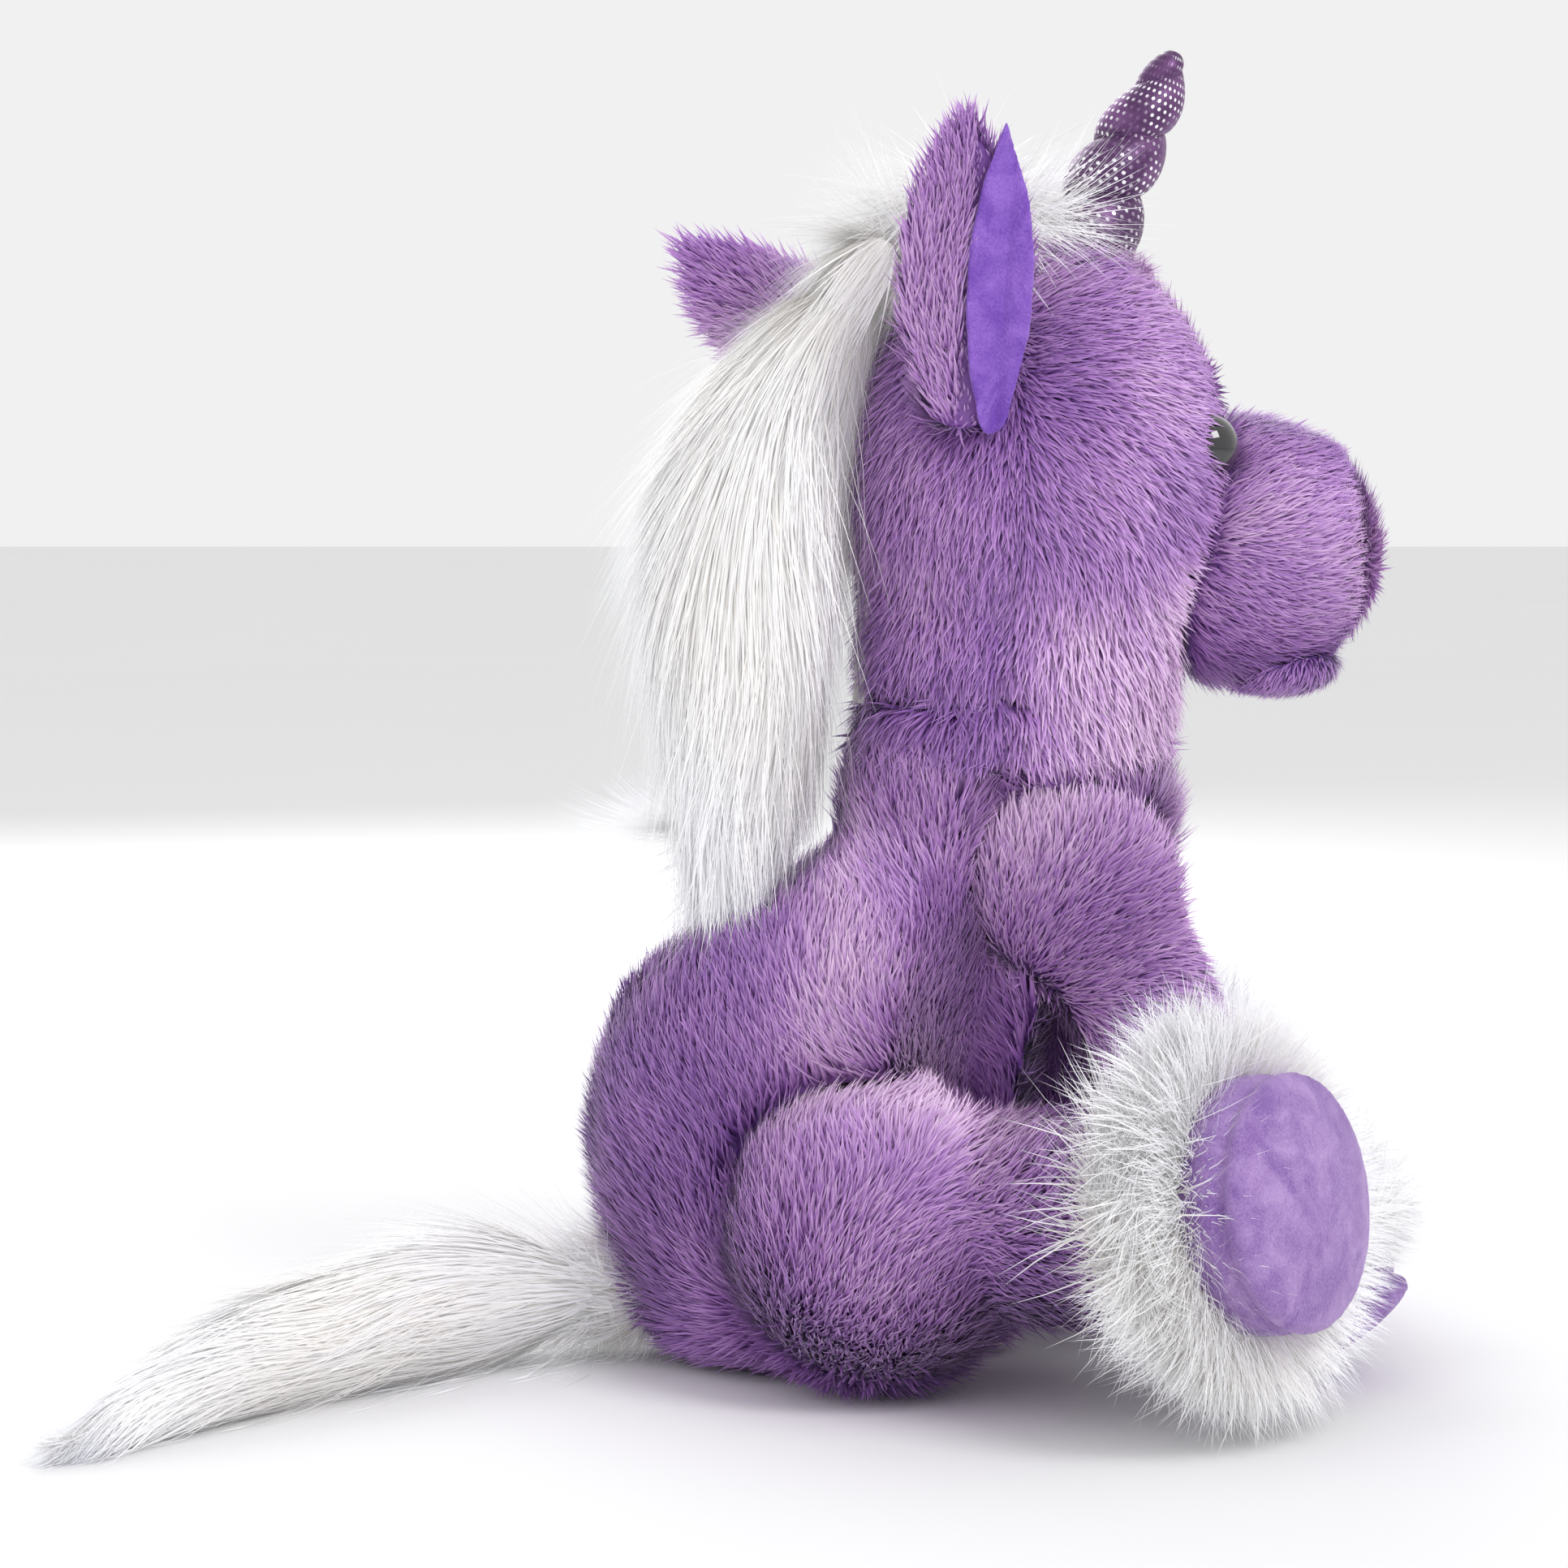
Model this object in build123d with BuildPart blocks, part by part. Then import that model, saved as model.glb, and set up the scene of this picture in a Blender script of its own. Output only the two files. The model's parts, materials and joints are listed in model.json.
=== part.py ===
from build123d import *

from collections import namedtuple
import math
import os

# A seated plush unicorn: long-pile body, white mane, tail and ankle cuffs, short-pile hooves.
# The toy faces -Y with +Z up, and its right side is -X. The origin is the middle of the flat seat,
# between the hips, on the surface that the toy sits on. All sizes are millimetres.

os.makedirs("parts", exist_ok=True)

# ------------------------------------------------------------------ cloth, thread and clearances
pile_fabric = 2.5  # plush fabric with its pile pressed flat
hoof_fabric = 1.5  # short-pile cloth of the hooves, the ear linings and the horn
filling_ease = 0.1  # a filling stays this far inside its cover
running_gap = 0.6  # between pieces that move past each other
stitch_gap = 0.05  # between pieces that are sewn together but wrap around each other

# ------------------------------------------------------------------ torso
Ring = namedtuple("Ring", "up forward half_length half_width")
seat_ring = Ring(0, 2, 30, 30)
rump_ring = Ring(14, 2.5, 41, 40)
belly_ring = Ring(44, 4, 50, 44.5)
flank_ring = Ring(80, 16, 51, 42)
shoulder_ring = Ring(104, 36, 36, 35)
neck_ring = Ring(117, 39.5, 31, 30)
torso_rings = [seat_ring, rump_ring, belly_ring, flank_ring, shoulder_ring, neck_ring]
seat_thickness = 3
pellet_bag_radius = 14
pellet_bag_wall = 1
pellet_bag_back = 15  # behind the origin

# ------------------------------------------------------------------ neck
neck_forward = 40
neck_ball_up = 114
neck_ball_radius = 34  # rounded top of the torso, which the head turns and nods on
neck_wad_thickness = 8.5
neck_wad_half_angle = 36
nod_room = 12  # the wad's pocket in the head is this many degrees wider all round

# ------------------------------------------------------------------ head
head_turned = 8  # degrees towards the toy's left
skull_forward = 45
skull_up = 188
skull_half_length = 39
skull_half_width = 43
skull_half_height = 49
collar_up = 129
collar_radius = 32.5
throat_up = 170
throat_radius = 35
face_seam_forward = 34
gusset_half_width = 14
gusset_up = 206
gusset_back = 20

muzzle_forward = 88
muzzle_up = 172
muzzle_half_length = 31
muzzle_half_width = 27
muzzle_half_height = 28.5
nose_seam_forward = 111
lip_forward = 98
lip_up = 148
lip_half_length = 14
lip_half_width = 18
lip_half_height = 7.5

eye_forward = 79
eye_side = 22
eye_up = 194
eye_outward = 28  # degrees away from straight ahead
eye_rise = 5.6  # degrees that the eyes look up
eye_radius = 6.8
eye_height = 5.2
eye_shank_radius = 1.6
eye_shank_length = 11
eye_hole_clearance = 0.1
washer_radius = 6
washer_thickness = 1.2
washer_depth = 4.6

# ------------------------------------------------------------------ horn
horn_forward = 57
horn_up = 235.5
horn_lean = 22.4  # degrees forward
horn_base_radius = 9.6
horn_shoulder_radius = 7.8
horn_shoulder = 30  # along the horn, where its rounded end begins
horn_length = 43.5
horn_thread_radius = 0.5
horn_turns = 2.75
horn_thread_start = 4

# ------------------------------------------------------------------ ears
ear_forward = 22
ear_side = 40.5
ear_up = 204
ear_splay = 9  # degrees outwards
ear_height = 56
ear_half_width = 12.5
ear_base_half_width = 7
ear_widest = 24  # up the ear
ear_root_radius = 6
ear_root_length = 13
ear_flop = {"left": 54, "right": 0}  # degrees that each ear lies back

# ------------------------------------------------------------------ mane and forelock
mane_hinge_forward = 9
mane_hinge_up = 232
mane_roll_radius = 6.5
mane_tape_half_width = 6
mane_tape_thickness = 1.2
mane_tape_bottom = 140
mane_rings = [
    Ring(228, 6, 8, 17),
    Ring(200, -9, 17, 21),
    Ring(170, -16, 18, 21),
    Ring(140, -17.5, 15, 18),
    Ring(114, -20, 9, 12),
]
forelock_forward = 31
forelock_up = 240
forelock_half_length = 15
forelock_half_width = 14
forelock_half_height = 9

# ------------------------------------------------------------------ tail
Bend = namedtuple("Bend", "forward right up half_width half_height heading")
tail_ball_radius = 9.5
tail_root = Bend(-42, 2, 14, 6, 6.5, 160)
tail_knuckle_radius = 7
tail_knuckle_out = 10  # from the middle of the root to the middle of the knuckle
tail_bends = [
    Bend(-66, 13, 14.5, 10, 13, 151),
    Bend(-86, 31, 14, 11.5, 13.5, 138),
    Bend(-110, 57, 12, 10, 11.5, 131),
    Bend(-130, 82, 8, 7, 7.5, 128),
    Bend(-144, 100, 3.6, 3, 3.2, 128),
]

# ------------------------------------------------------------------ legs
LegSizes = namedtuple(
    "LegSizes",
    "hub_radius hub_outward top ankle length"
    " cuff_flare cuff_length cuff_lip hoof_radius hoof_wall sole_dome",
)
front_leg = LegSizes(20, 3, 15, 10.5, 107, 22, 24, 4, 18.5, 15, 4)
hind_leg = LegSizes(30, 8.5, 20.5, 17, 97, 31, 26, 5, 25.5, 14, 6)
shoulder_forward = 52
shoulder_side = 22.5
shoulder_up = 102
front_leg_down = 59  # degrees below the horizontal
front_leg_splay = 4  # degrees outwards
front_leg_lift = 55  # degrees that a front leg swings up
hip_forward = 16
hip_side = 34
hip_up = 33
hind_leg_splay = 36
hind_leg_rise = {"left": -1, "right": 9}  # degrees above the horizontal
hind_leg_low = -1  # degrees above the horizontal when a hind leg lies on the floor
hind_leg_high = 39  # degrees above the horizontal when a hind leg is lifted
swing_margin = 45  # degrees cut free on each side of a leg's swing

sides = {"left": 1, "right": -1}


def spot(forward, left, up):
    """A point given by how far forward, to the toy's left and up it is."""
    return Vector(left, -forward, up)


def heading(rise, turn):
    """A direction that rises and turns, in degrees, from straight ahead."""
    level = math.cos(math.radians(rise))
    return Vector(
        level * math.sin(math.radians(turn)),
        -level * math.cos(math.radians(turn)),
        math.sin(math.radians(rise)),
    )


def egg(centre, half_length, half_width, half_height, inset=0, poles=(0, 0, 0)):
    """A closed egg about centre, with its surface drawn in by inset and its poles turned."""
    with BuildPart() as shape:
        Sphere(1, rotation=poles)
        scale(by=(half_width - inset, half_length - inset, half_height - inset))
    return shape.part.moved(Location(centre))


def dome_ball(radius, height):
    """The radius of the ball that a round dome of this radius and height is cut from."""
    return (radius**2 + height**2) / (2 * height)


def ball(centre, radius, poles=(0, 0, 0)):
    """A solid ball, with its poles turned."""
    with BuildPart() as shape:
        Sphere(radius, rotation=poles)
    return shape.part.moved(Location(centre))


neck_centre = spot(neck_forward, 0, neck_ball_up)
neck_axis = Axis(neck_centre, (0, 0, 1))


def with_head(shape):
    """The shape, turned with the head about the neck."""
    return shape.rotate(neck_axis, head_turned)


def head_spot(forward, left, up):
    """A point on the head, given as if the head looked straight ahead."""
    level = spot(forward, left, up) - neck_centre
    return neck_centre + level.rotate(Axis.Z, head_turned)


def head_box(forward, left, up):
    """A box in the turned head, from three (low, high) pairs."""
    with BuildPart() as box:
        with Locations(spot(sum(forward) / 2, sum(left) / 2, sum(up) / 2)):
            Box(left[1] - left[0], forward[1] - forward[0], up[1] - up[0])
    return with_head(box.part)


far = 200  # a box side that reaches beyond the whole toy


# ------------------------------------------------------------------ legs: shapes and swing
Limb = namedtuple("Limb", "joint direction swing outward profile sizes drop lift")


def limb(joint, direction, side, sizes, drop, lift):
    """A leg's joint, direction, swing axis and profile plane, and how far it drops and lifts."""
    swing = direction.cross(Vector(0, 0, 1)).normalized()
    outward = swing * -side
    profile = Plane(origin=joint, x_dir=outward, z_dir=outward.cross(direction))
    return Limb(joint, direction, swing, outward, profile, sizes, drop, lift)


limbs = {}
for name, side in sides.items():
    limbs[f"front_leg_{name}"] = limb(
        spot(shoulder_forward, side * shoulder_side, shoulder_up),
        heading(-front_leg_down, side * front_leg_splay),
        side,
        front_leg,
        0,
        front_leg_lift,
    )
    limbs[f"hind_leg_{name}"] = limb(
        spot(hip_forward, side * hip_side, hip_up),
        heading(hind_leg_rise[name], side * hind_leg_splay),
        side,
        hind_leg,
        hind_leg_rise[name] - hind_leg_low,
        hind_leg_high - hind_leg_rise[name],
    )


def leg_hub(leg, grow):
    """The rounded root of a leg, a ball centred on its swing axis."""
    sizes = leg.sizes
    centre = leg.joint + leg.outward * sizes.hub_outward
    return ball(centre, sizes.hub_radius + grow, poles=(90, 0, 0))


def leg_shape(leg, grow):
    """A leg from its root to its ankle, with its surface moved out by grow."""
    sizes = leg.sizes
    ankle_at = sizes.length - sizes.hoof_wall
    with BuildPart() as shape:
        with BuildSketch(leg.profile):
            Polygon(
                (0, 0),
                (sizes.top + grow, 0),
                (sizes.ankle + grow, ankle_at),
                (0, ankle_at),
                align=None,
            )
        revolve(axis=Axis(leg.joint, leg.direction))
        add(leg_hub(leg, grow))
    return shape.part


def swing_room(leg):
    """The wedge of space that a leg sweeps through when it swings."""
    half_width = leg.sizes.top + running_gap
    start = leg.direction.rotate(Axis((0, 0, 0), leg.swing), -leg.drop - swing_margin)
    plane = Plane(origin=leg.joint, x_dir=leg.swing, z_dir=leg.swing.cross(start))
    with BuildPart() as wedge:
        with BuildSketch(plane):
            Polygon(
                (-half_width, 0),
                (half_width, 0),
                (half_width, leg.sizes.length),
                (-half_width, leg.sizes.length),
                align=None,
            )
        revolve(axis=Axis(leg.joint, leg.swing), revolution_arc=leg.drop + leg.lift + 2 * swing_margin)
    return wedge.part


# ------------------------------------------------------------------ torso
def torso_shape(inset):
    """The torso's body and rounded neck, with its surface drawn in by inset."""
    with BuildPart() as shape:
        for ring in torso_rings:
            with BuildSketch(Plane.XY.offset(ring.up)):
                with Locations((0, -ring.forward)):
                    Ellipse(ring.half_width - inset, ring.half_length - inset)
        loft()
        add(ball(neck_centre, neck_ball_radius - inset))
    return shape.part


with BuildPart() as joint_room:
    for name, leg in limbs.items():
        add(leg_hub(leg, running_gap))
        add(swing_room(leg))
    add(ball(spot(tail_root.forward, -tail_root.right, tail_root.up), tail_ball_radius + running_gap))

torso_outside = torso_shape(0)
torso_lining = torso_shape(pile_fabric)

with BuildPart() as torso_skin:
    add(torso_outside)
    add(torso_lining, mode=Mode.SUBTRACT)
    add(joint_room.part, mode=Mode.SUBTRACT)

# Two side covers of plush, sewn together down the back and the belly. The scrap of cloth that
# the legs' openings cut loose at each flank is thrown away.
for name, side in sides.items():
    with BuildPart() as half_skin:
        add(torso_skin.part)
        split(bisect_by=Plane.YZ, keep=Keep.TOP if side > 0 else Keep.BOTTOM)
    with BuildPart() as torso_cover:
        add(half_skin.solids().sort_by(SortBy.VOLUME)[-1])
    torso_cover.part.label = f"torso_cover_{name}"
    export_step(torso_cover.part, f"parts/torso_cover_{name}.step")

# The flat panel that the toy sits on.
with BuildPart() as seat_panel:
    add(torso_lining)
    with Locations((0, 0, seat_thickness + far / 2)):
        Box(2 * far, 2 * far, far, mode=Mode.SUBTRACT)
    add(joint_room.part, mode=Mode.SUBTRACT)
seat_panel.part.label = "seat_panel"
export_step(seat_panel.part, "parts/seat_panel.step")

# A cloth bag of plastic pellets low in the back keeps the toy upright.
bag_centre = spot(-pellet_bag_back, 0, seat_thickness + filling_ease + pellet_bag_radius)
with BuildPart() as pellet_bag:
    add(ball(bag_centre, pellet_bag_radius))
    add(ball(bag_centre, pellet_bag_radius - pellet_bag_wall), mode=Mode.SUBTRACT)
pellet_bag.part.label = "pellet_bag"
export_step(pellet_bag.part, "parts/pellet_bag.step")

with BuildPart() as pellets:
    add(ball(bag_centre, pellet_bag_radius - pellet_bag_wall - filling_ease))
pellets.part.label = "pellets"
export_step(pellets.part, "parts/pellets.step")

with BuildPart() as torso_filling:
    add(torso_shape(pile_fabric + filling_ease))
    with Locations((0, 0, seat_thickness + filling_ease - far / 2)):
        Box(2 * far, 2 * far, far, mode=Mode.SUBTRACT)
    add(joint_room.part, mode=Mode.SUBTRACT)
    add(ball(bag_centre, pellet_bag_radius + filling_ease), mode=Mode.SUBTRACT)
torso_filling.part.label = "torso_filling"
export_step(torso_filling.part, "parts/torso_filling.step")


# ------------------------------------------------------------------ neck
def neck_cap(inner, outer, half_angle):
    """The part of a thick round shell about the neck's centre that lies near its top."""
    tilt = math.radians(half_angle)
    with BuildPart() as cap:
        with BuildSketch(Plane(origin=neck_centre, x_dir=(1, 0, 0), z_dir=(0, -1, 0))):
            with BuildLine():
                top_inner, top_outer = (0, inner), (0, outer)
                edge_inner = (inner * math.sin(tilt), inner * math.cos(tilt))
                edge_outer = (outer * math.sin(tilt), outer * math.cos(tilt))
                middle = math.radians(half_angle / 2)
                Line(top_inner, top_outer)
                ThreePointArc(top_outer, (outer * math.sin(middle), outer * math.cos(middle)), edge_outer)
                Line(edge_outer, edge_inner)
                ThreePointArc(edge_inner, (inner * math.sin(middle), inner * math.cos(middle)), top_inner)
            make_face()
        revolve(axis=neck_axis)
    return cap.part


head_seat_radius = neck_ball_radius + running_gap
wad_outside = head_seat_radius + neck_wad_thickness

# The wad of filling in the neck that lets the head turn and nod.
with BuildPart() as neck_filling:
    add(neck_cap(head_seat_radius, wad_outside, neck_wad_half_angle))
neck_filling.part.label = "neck_filling"
export_step(neck_filling.part, "parts/neck_filling.step")

with BuildPart() as neck_room:
    add(ball(neck_centre, head_seat_radius))
    add(neck_cap(neck_ball_radius, wad_outside + running_gap, neck_wad_half_angle + nod_room))


# ------------------------------------------------------------------ head
def skull_shape(inset):
    """The head's egg and its round neck, with the surface drawn in by inset."""
    with BuildPart() as shape:
        add(
            egg(
                spot(skull_forward, 0, skull_up),
                skull_half_length,
                skull_half_width,
                skull_half_height,
                inset,
            )
        )
        with BuildSketch(Plane.XY.offset(collar_up)):
            with Locations((0, -neck_forward)):
                Circle(collar_radius - inset)
        with BuildSketch(Plane.XY.offset(throat_up)):
            with Locations((0, -skull_forward)):
                Circle(throat_radius - inset)
        loft()
    return with_head(shape.part)


def muzzle_shape(inset):
    """The muzzle's egg, with its surface drawn in by inset."""
    centre = spot(muzzle_forward, 0, muzzle_up)
    fore_and_aft = (90, 0, 0)
    return with_head(
        egg(centre, muzzle_half_length, muzzle_half_width, muzzle_half_height, inset, fore_and_aft)
    )


Ear = namedtuple("Ear", "pivot upright across outward")
ears = {}
for name, side in sides.items():
    splay = math.radians(ear_splay)
    outward = Vector(side * math.cos(splay), 0, -math.sin(splay)).rotate(Axis.Z, head_turned)
    upright = Vector(side * math.sin(splay), 0, math.cos(splay)).rotate(Axis.Z, head_turned)
    upright = upright.rotate(Axis((0, 0, 0), outward), -side * ear_flop[name])
    pivot = head_spot(ear_forward, side * ear_side, ear_up)
    ears[name] = Ear(pivot, upright, upright.cross(outward), outward)


def ear_root(ear, grow):
    """The rolled root of an ear, a plug along its hinge line that sits in the head."""
    start = ear.pivot - ear.outward * (ear_root_length + grow)
    with BuildPart() as root:
        with BuildSketch(Plane(origin=start, x_dir=ear.upright, z_dir=ear.outward)):
            Circle(ear_root_radius + grow)
        extrude(amount=ear_root_length + 2 * grow)
    return root.part


Eye = namedtuple("Eye", "centre look")
eyes = {}
for name, side in sides.items():
    look = heading(eye_rise, side * eye_outward + head_turned)
    eyes[name] = Eye(head_spot(eye_forward, side * eye_side, eye_up), look)


def eye_rod(eye, radius, start, length):
    """A round rod along an eye's line of sight, starting so far behind its front face."""
    base = eye.centre - eye.look * start
    with BuildPart() as rod:
        with BuildSketch(Plane(origin=base, z_dir=-eye.look)):
            Circle(radius)
        extrude(amount=length)
    return rod.part


horn_root = head_spot(horn_forward, 0, horn_up)
horn_line = heading(90 - horn_lean, head_turned)
horn_side = Vector(0, 0, 1).cross(horn_line).normalized()

skull_outside = skull_shape(0)
muzzle_outside = muzzle_shape(0)

with BuildPart() as head_holes:
    add(neck_room.part)
    add(ball(horn_root, horn_base_radius + running_gap))
    for ear in ears.values():
        add(ear_root(ear, running_gap))
    for eye in eyes.values():
        add(eye_rod(eye, eye_shank_radius + eye_hole_clearance, -1, eye_shank_length + 2))

with BuildPart() as head_skin:
    add(skull_outside)
    add(skull_shape(pile_fabric), mode=Mode.SUBTRACT)
    add(head_holes.part, mode=Mode.SUBTRACT)

gusset_box = head_box(
    (gusset_back, far), (-gusset_half_width, gusset_half_width), (gusset_up, 2 * far)
)
nape_box = head_box((-far, face_seam_forward), (-far, far), (0, 2 * far))

# The crown gusset runs over the forehead between the ears, and the horn comes out of it.
with BuildPart() as crown_gusset:
    add(head_skin.part)
    add(gusset_box, mode=Mode.INTERSECT)
crown_gusset.part.label = "crown_gusset"
export_step(crown_gusset.part, "parts/crown_gusset.step")

# The back of the head is one panel that wraps round to the seam below each ear.
with BuildPart() as nape_panel:
    add(head_skin.part)
    add(nape_box, mode=Mode.INTERSECT)
    add(gusset_box, mode=Mode.SUBTRACT)
nape_panel.part.label = "nape_panel"
export_step(nape_panel.part, "parts/nape_panel.step")

for name, side in sides.items():
    half = (0, far) if side > 0 else (-far, 0)
    with BuildPart() as face_panel:
        add(head_skin.part)
        add(head_box((face_seam_forward, far), half, (0, 2 * far)), mode=Mode.INTERSECT)
        add(gusset_box, mode=Mode.SUBTRACT)
    face_panel.part.label = f"face_panel_{name}"
    export_step(face_panel.part, f"parts/face_panel_{name}.step")

with BuildPart() as head_filling:
    add(skull_shape(pile_fabric + filling_ease))
    add(head_holes.part, mode=Mode.SUBTRACT)
    for eye in eyes.values():
        add(
            eye_rod(eye, washer_radius + filling_ease, 0, washer_depth + washer_thickness + filling_ease),
            mode=Mode.SUBTRACT,
        )
head_filling.part.label = "head_filling"
export_step(head_filling.part, "parts/head_filling.step")

# The muzzle is a tube of plush closed by a rounded front panel.
nose_seam = Plane(origin=head_spot(nose_seam_forward, 0, muzzle_up), z_dir=heading(0, head_turned))
with BuildPart() as eye_room:
    for eye in eyes.values():
        add(eye_rod(eye, eye_radius + filling_ease, -eye_height, eye_height + eye_radius))

with BuildPart() as muzzle_lining:
    add(muzzle_shape(pile_fabric))
    add(skull_outside, mode=Mode.SUBTRACT)
with BuildPart() as muzzle_skin:
    add(muzzle_outside)
    add(skull_outside, mode=Mode.SUBTRACT)
    add(muzzle_lining.part, mode=Mode.SUBTRACT)
    add(eye_room.part, mode=Mode.SUBTRACT)

with BuildPart() as muzzle_cover:
    add(muzzle_skin.part)
    split(bisect_by=nose_seam, keep=Keep.BOTTOM)
muzzle_cover.part.label = "muzzle_cover"
export_step(muzzle_cover.part, "parts/muzzle_cover.step")

with BuildPart() as nose_panel:
    add(muzzle_skin.part)
    split(bisect_by=nose_seam, keep=Keep.TOP)
nose_panel.part.label = "nose_panel"
export_step(nose_panel.part, "parts/nose_panel.step")

with BuildPart() as muzzle_filling:
    add(muzzle_shape(pile_fabric + filling_ease))
    add(skull_outside, mode=Mode.SUBTRACT)
    add(eye_room.part, mode=Mode.SUBTRACT)
muzzle_filling.part.label = "muzzle_filling"
export_step(muzzle_filling.part, "parts/muzzle_filling.step")

# The lower lip is a small stuffed roll sewn under the muzzle.
with BuildPart() as lower_lip:
    add(with_head(egg(spot(lip_forward, 0, lip_up), lip_half_length, lip_half_width, lip_half_height)))
    add(muzzle_outside, mode=Mode.SUBTRACT)
    add(skull_outside, mode=Mode.SUBTRACT)
lower_lip.part.label = "lower_lip"
export_step(lower_lip.part, "parts/lower_lip.step")

# Each eye is a glossy dome with a shank, held by a washer pushed on behind the plush.
eye_ball = dome_ball(eye_radius, eye_height)
for name, eye in eyes.items():
    with BuildPart() as dome:
        add(ball(eye.centre + eye.look * (eye_height - eye_ball), eye_ball))
        add(eye_rod(eye, eye_radius, -eye_height, eye_height + 2), mode=Mode.INTERSECT)
        add(skull_outside, mode=Mode.SUBTRACT)
    with BuildPart() as toy_eye:
        add(dome.part)
        add(eye_rod(eye, eye_shank_radius, -1, eye_shank_length + 1))
    toy_eye.part.label = f"eye_{name}"
    export_step(toy_eye.part, f"parts/eye_{name}.step")

    with BuildPart() as eye_washer:
        add(eye_rod(eye, washer_radius, washer_depth, washer_thickness))
        add(
            eye_rod(eye, eye_shank_radius + eye_hole_clearance, 0, eye_shank_length),
            mode=Mode.SUBTRACT,
        )
    eye_washer.part.label = f"eye_washer_{name}"
    export_step(eye_washer.part, f"parts/eye_washer_{name}.step")


# ------------------------------------------------------------------ horn
horn_taper = (horn_base_radius - horn_shoulder_radius) / horn_shoulder


def horn_shape(inset):
    """A leaning cone with a round base to bend on and a rounded end."""
    base, shoulder, end = horn_base_radius - inset, horn_shoulder_radius - inset, horn_length - inset
    with BuildPart() as shape:
        with BuildSketch(Plane(origin=horn_root, x_dir=horn_side, z_dir=horn_side.cross(horn_line))):
            with BuildLine():
                Line((0, end), (0, -base))
                JernArc((0, -base), (1, 0), base, 90)
                Line((base, 0), (shoulder, horn_shoulder))
                Spline(
                    (shoulder, horn_shoulder), (0, end), tangents=((-horn_taper, 1), (-1, 0))
                )
            make_face()
        revolve(axis=Axis(horn_root, horn_line))
    return shape.part


with BuildPart() as horn_cover:
    add(horn_shape(0))
    add(horn_shape(hoof_fabric), mode=Mode.SUBTRACT)
horn_cover.part.label = "horn_cover"
export_step(horn_cover.part, "parts/horn_cover.step")

with BuildPart() as horn_filling:
    add(horn_shape(hoof_fabric + filling_ease))
horn_filling.part.label = "horn_filling"
export_step(horn_filling.part, "parts/horn_filling.step")

# A thread wound round the horn from its base gives it its spiral.
thread_height = horn_shoulder - horn_thread_start
thread_radius_at_start = (
    horn_base_radius - horn_taper * horn_thread_start + horn_thread_radius + stitch_gap
)
with BuildPart() as horn_thread:
    with BuildLine():
        winding = Helix(
            pitch=thread_height / horn_turns,
            height=thread_height,
            radius=thread_radius_at_start,
            center=horn_root + horn_line * horn_thread_start,
            direction=horn_line,
            cone_angle=-math.degrees(math.atan(horn_taper)),
        )
    with BuildSketch(Plane(origin=winding @ 0, z_dir=winding % 0)):
        Circle(horn_thread_radius)
    sweep(path=winding, is_frenet=True)
horn_thread.part.label = "horn_thread"
export_step(horn_thread.part, "parts/horn_thread.step")

# ------------------------------------------------------------------ ears
def ear_leaf(ear, start, thickness):
    """A pointed leaf of cloth in the plane of an ear, starting so far out from its hinge plane."""
    with BuildPart() as leaf:
        with BuildSketch(
            Plane(origin=ear.pivot + ear.outward * start, x_dir=ear.across, z_dir=ear.outward)
        ):
            with BuildLine():
                base_left, base_right = (-ear_base_half_width, 0), (ear_base_half_width, 0)
                tip = (0, ear_height)
                ThreePointArc(base_left, (-ear_half_width, ear_widest), tip)
                ThreePointArc(tip, (ear_half_width, ear_widest), base_right)
                ThreePointArc(base_right, (0, -ear_base_half_width), base_left)
            make_face()
        extrude(amount=thickness)
    return leaf.part


# Each ear is a plush leaf with a short-pile lining on its outward face.
for name, ear in ears.items():
    with BuildPart() as ear_back:
        add(ear_leaf(ear, 0, pile_fabric))
        add(ear_root(ear, 0))
    ear_back.part.label = f"ear_back_{name}"
    export_step(ear_back.part, f"parts/ear_back_{name}.step")

    with BuildPart() as ear_lining:
        add(ear_leaf(ear, pile_fabric, hoof_fabric))
    ear_lining.part.label = f"ear_lining_{name}"
    export_step(ear_lining.part, f"parts/ear_lining_{name}.step")

# ------------------------------------------------------------------ mane and forelock
# A tape sewn up the middle of the nape holds the mane's hair.
with BuildPart() as mane_tape:
    add(skull_shape(-mane_tape_thickness))
    add(skull_outside, mode=Mode.SUBTRACT)
    add(
        head_box(
            (-far, skull_forward - skull_half_length / 2),
            (-mane_tape_half_width, mane_tape_half_width),
            (mane_tape_bottom, mane_hinge_up - mane_roll_radius - running_gap),
        ),
        mode=Mode.INTERSECT,
    )
mane_tape.part.label = "mane_tape"
export_step(mane_tape.part, "parts/mane_tape.step")

with BuildPart() as mane_strands:
    for ring in mane_rings:
        with BuildSketch(Plane.XY.offset(ring.up)):
            with Locations((0, -ring.forward)):
                Ellipse(ring.half_width, ring.half_length)
    loft()
    with Locations(Location(spot(mane_hinge_forward, 0, mane_hinge_up), (0, 90, 0))):
        Cylinder(mane_roll_radius, 2 * mane_rings[0].half_width)

with BuildPart() as mane:
    add(with_head(mane_strands.part))
    add(skull_shape(-mane_tape_thickness - running_gap), mode=Mode.SUBTRACT)
mane.part.label = "mane"
export_step(mane.part, "parts/mane.step")

with BuildPart() as forelock:
    add(
        with_head(
            egg(
                spot(forelock_forward, 0, forelock_up),
                forelock_half_length,
                forelock_half_width,
                forelock_half_height,
            )
        )
    )
    add(skull_outside, mode=Mode.SUBTRACT)
forelock.part.label = "forelock"
export_step(forelock.part, "parts/forelock.step")

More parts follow.
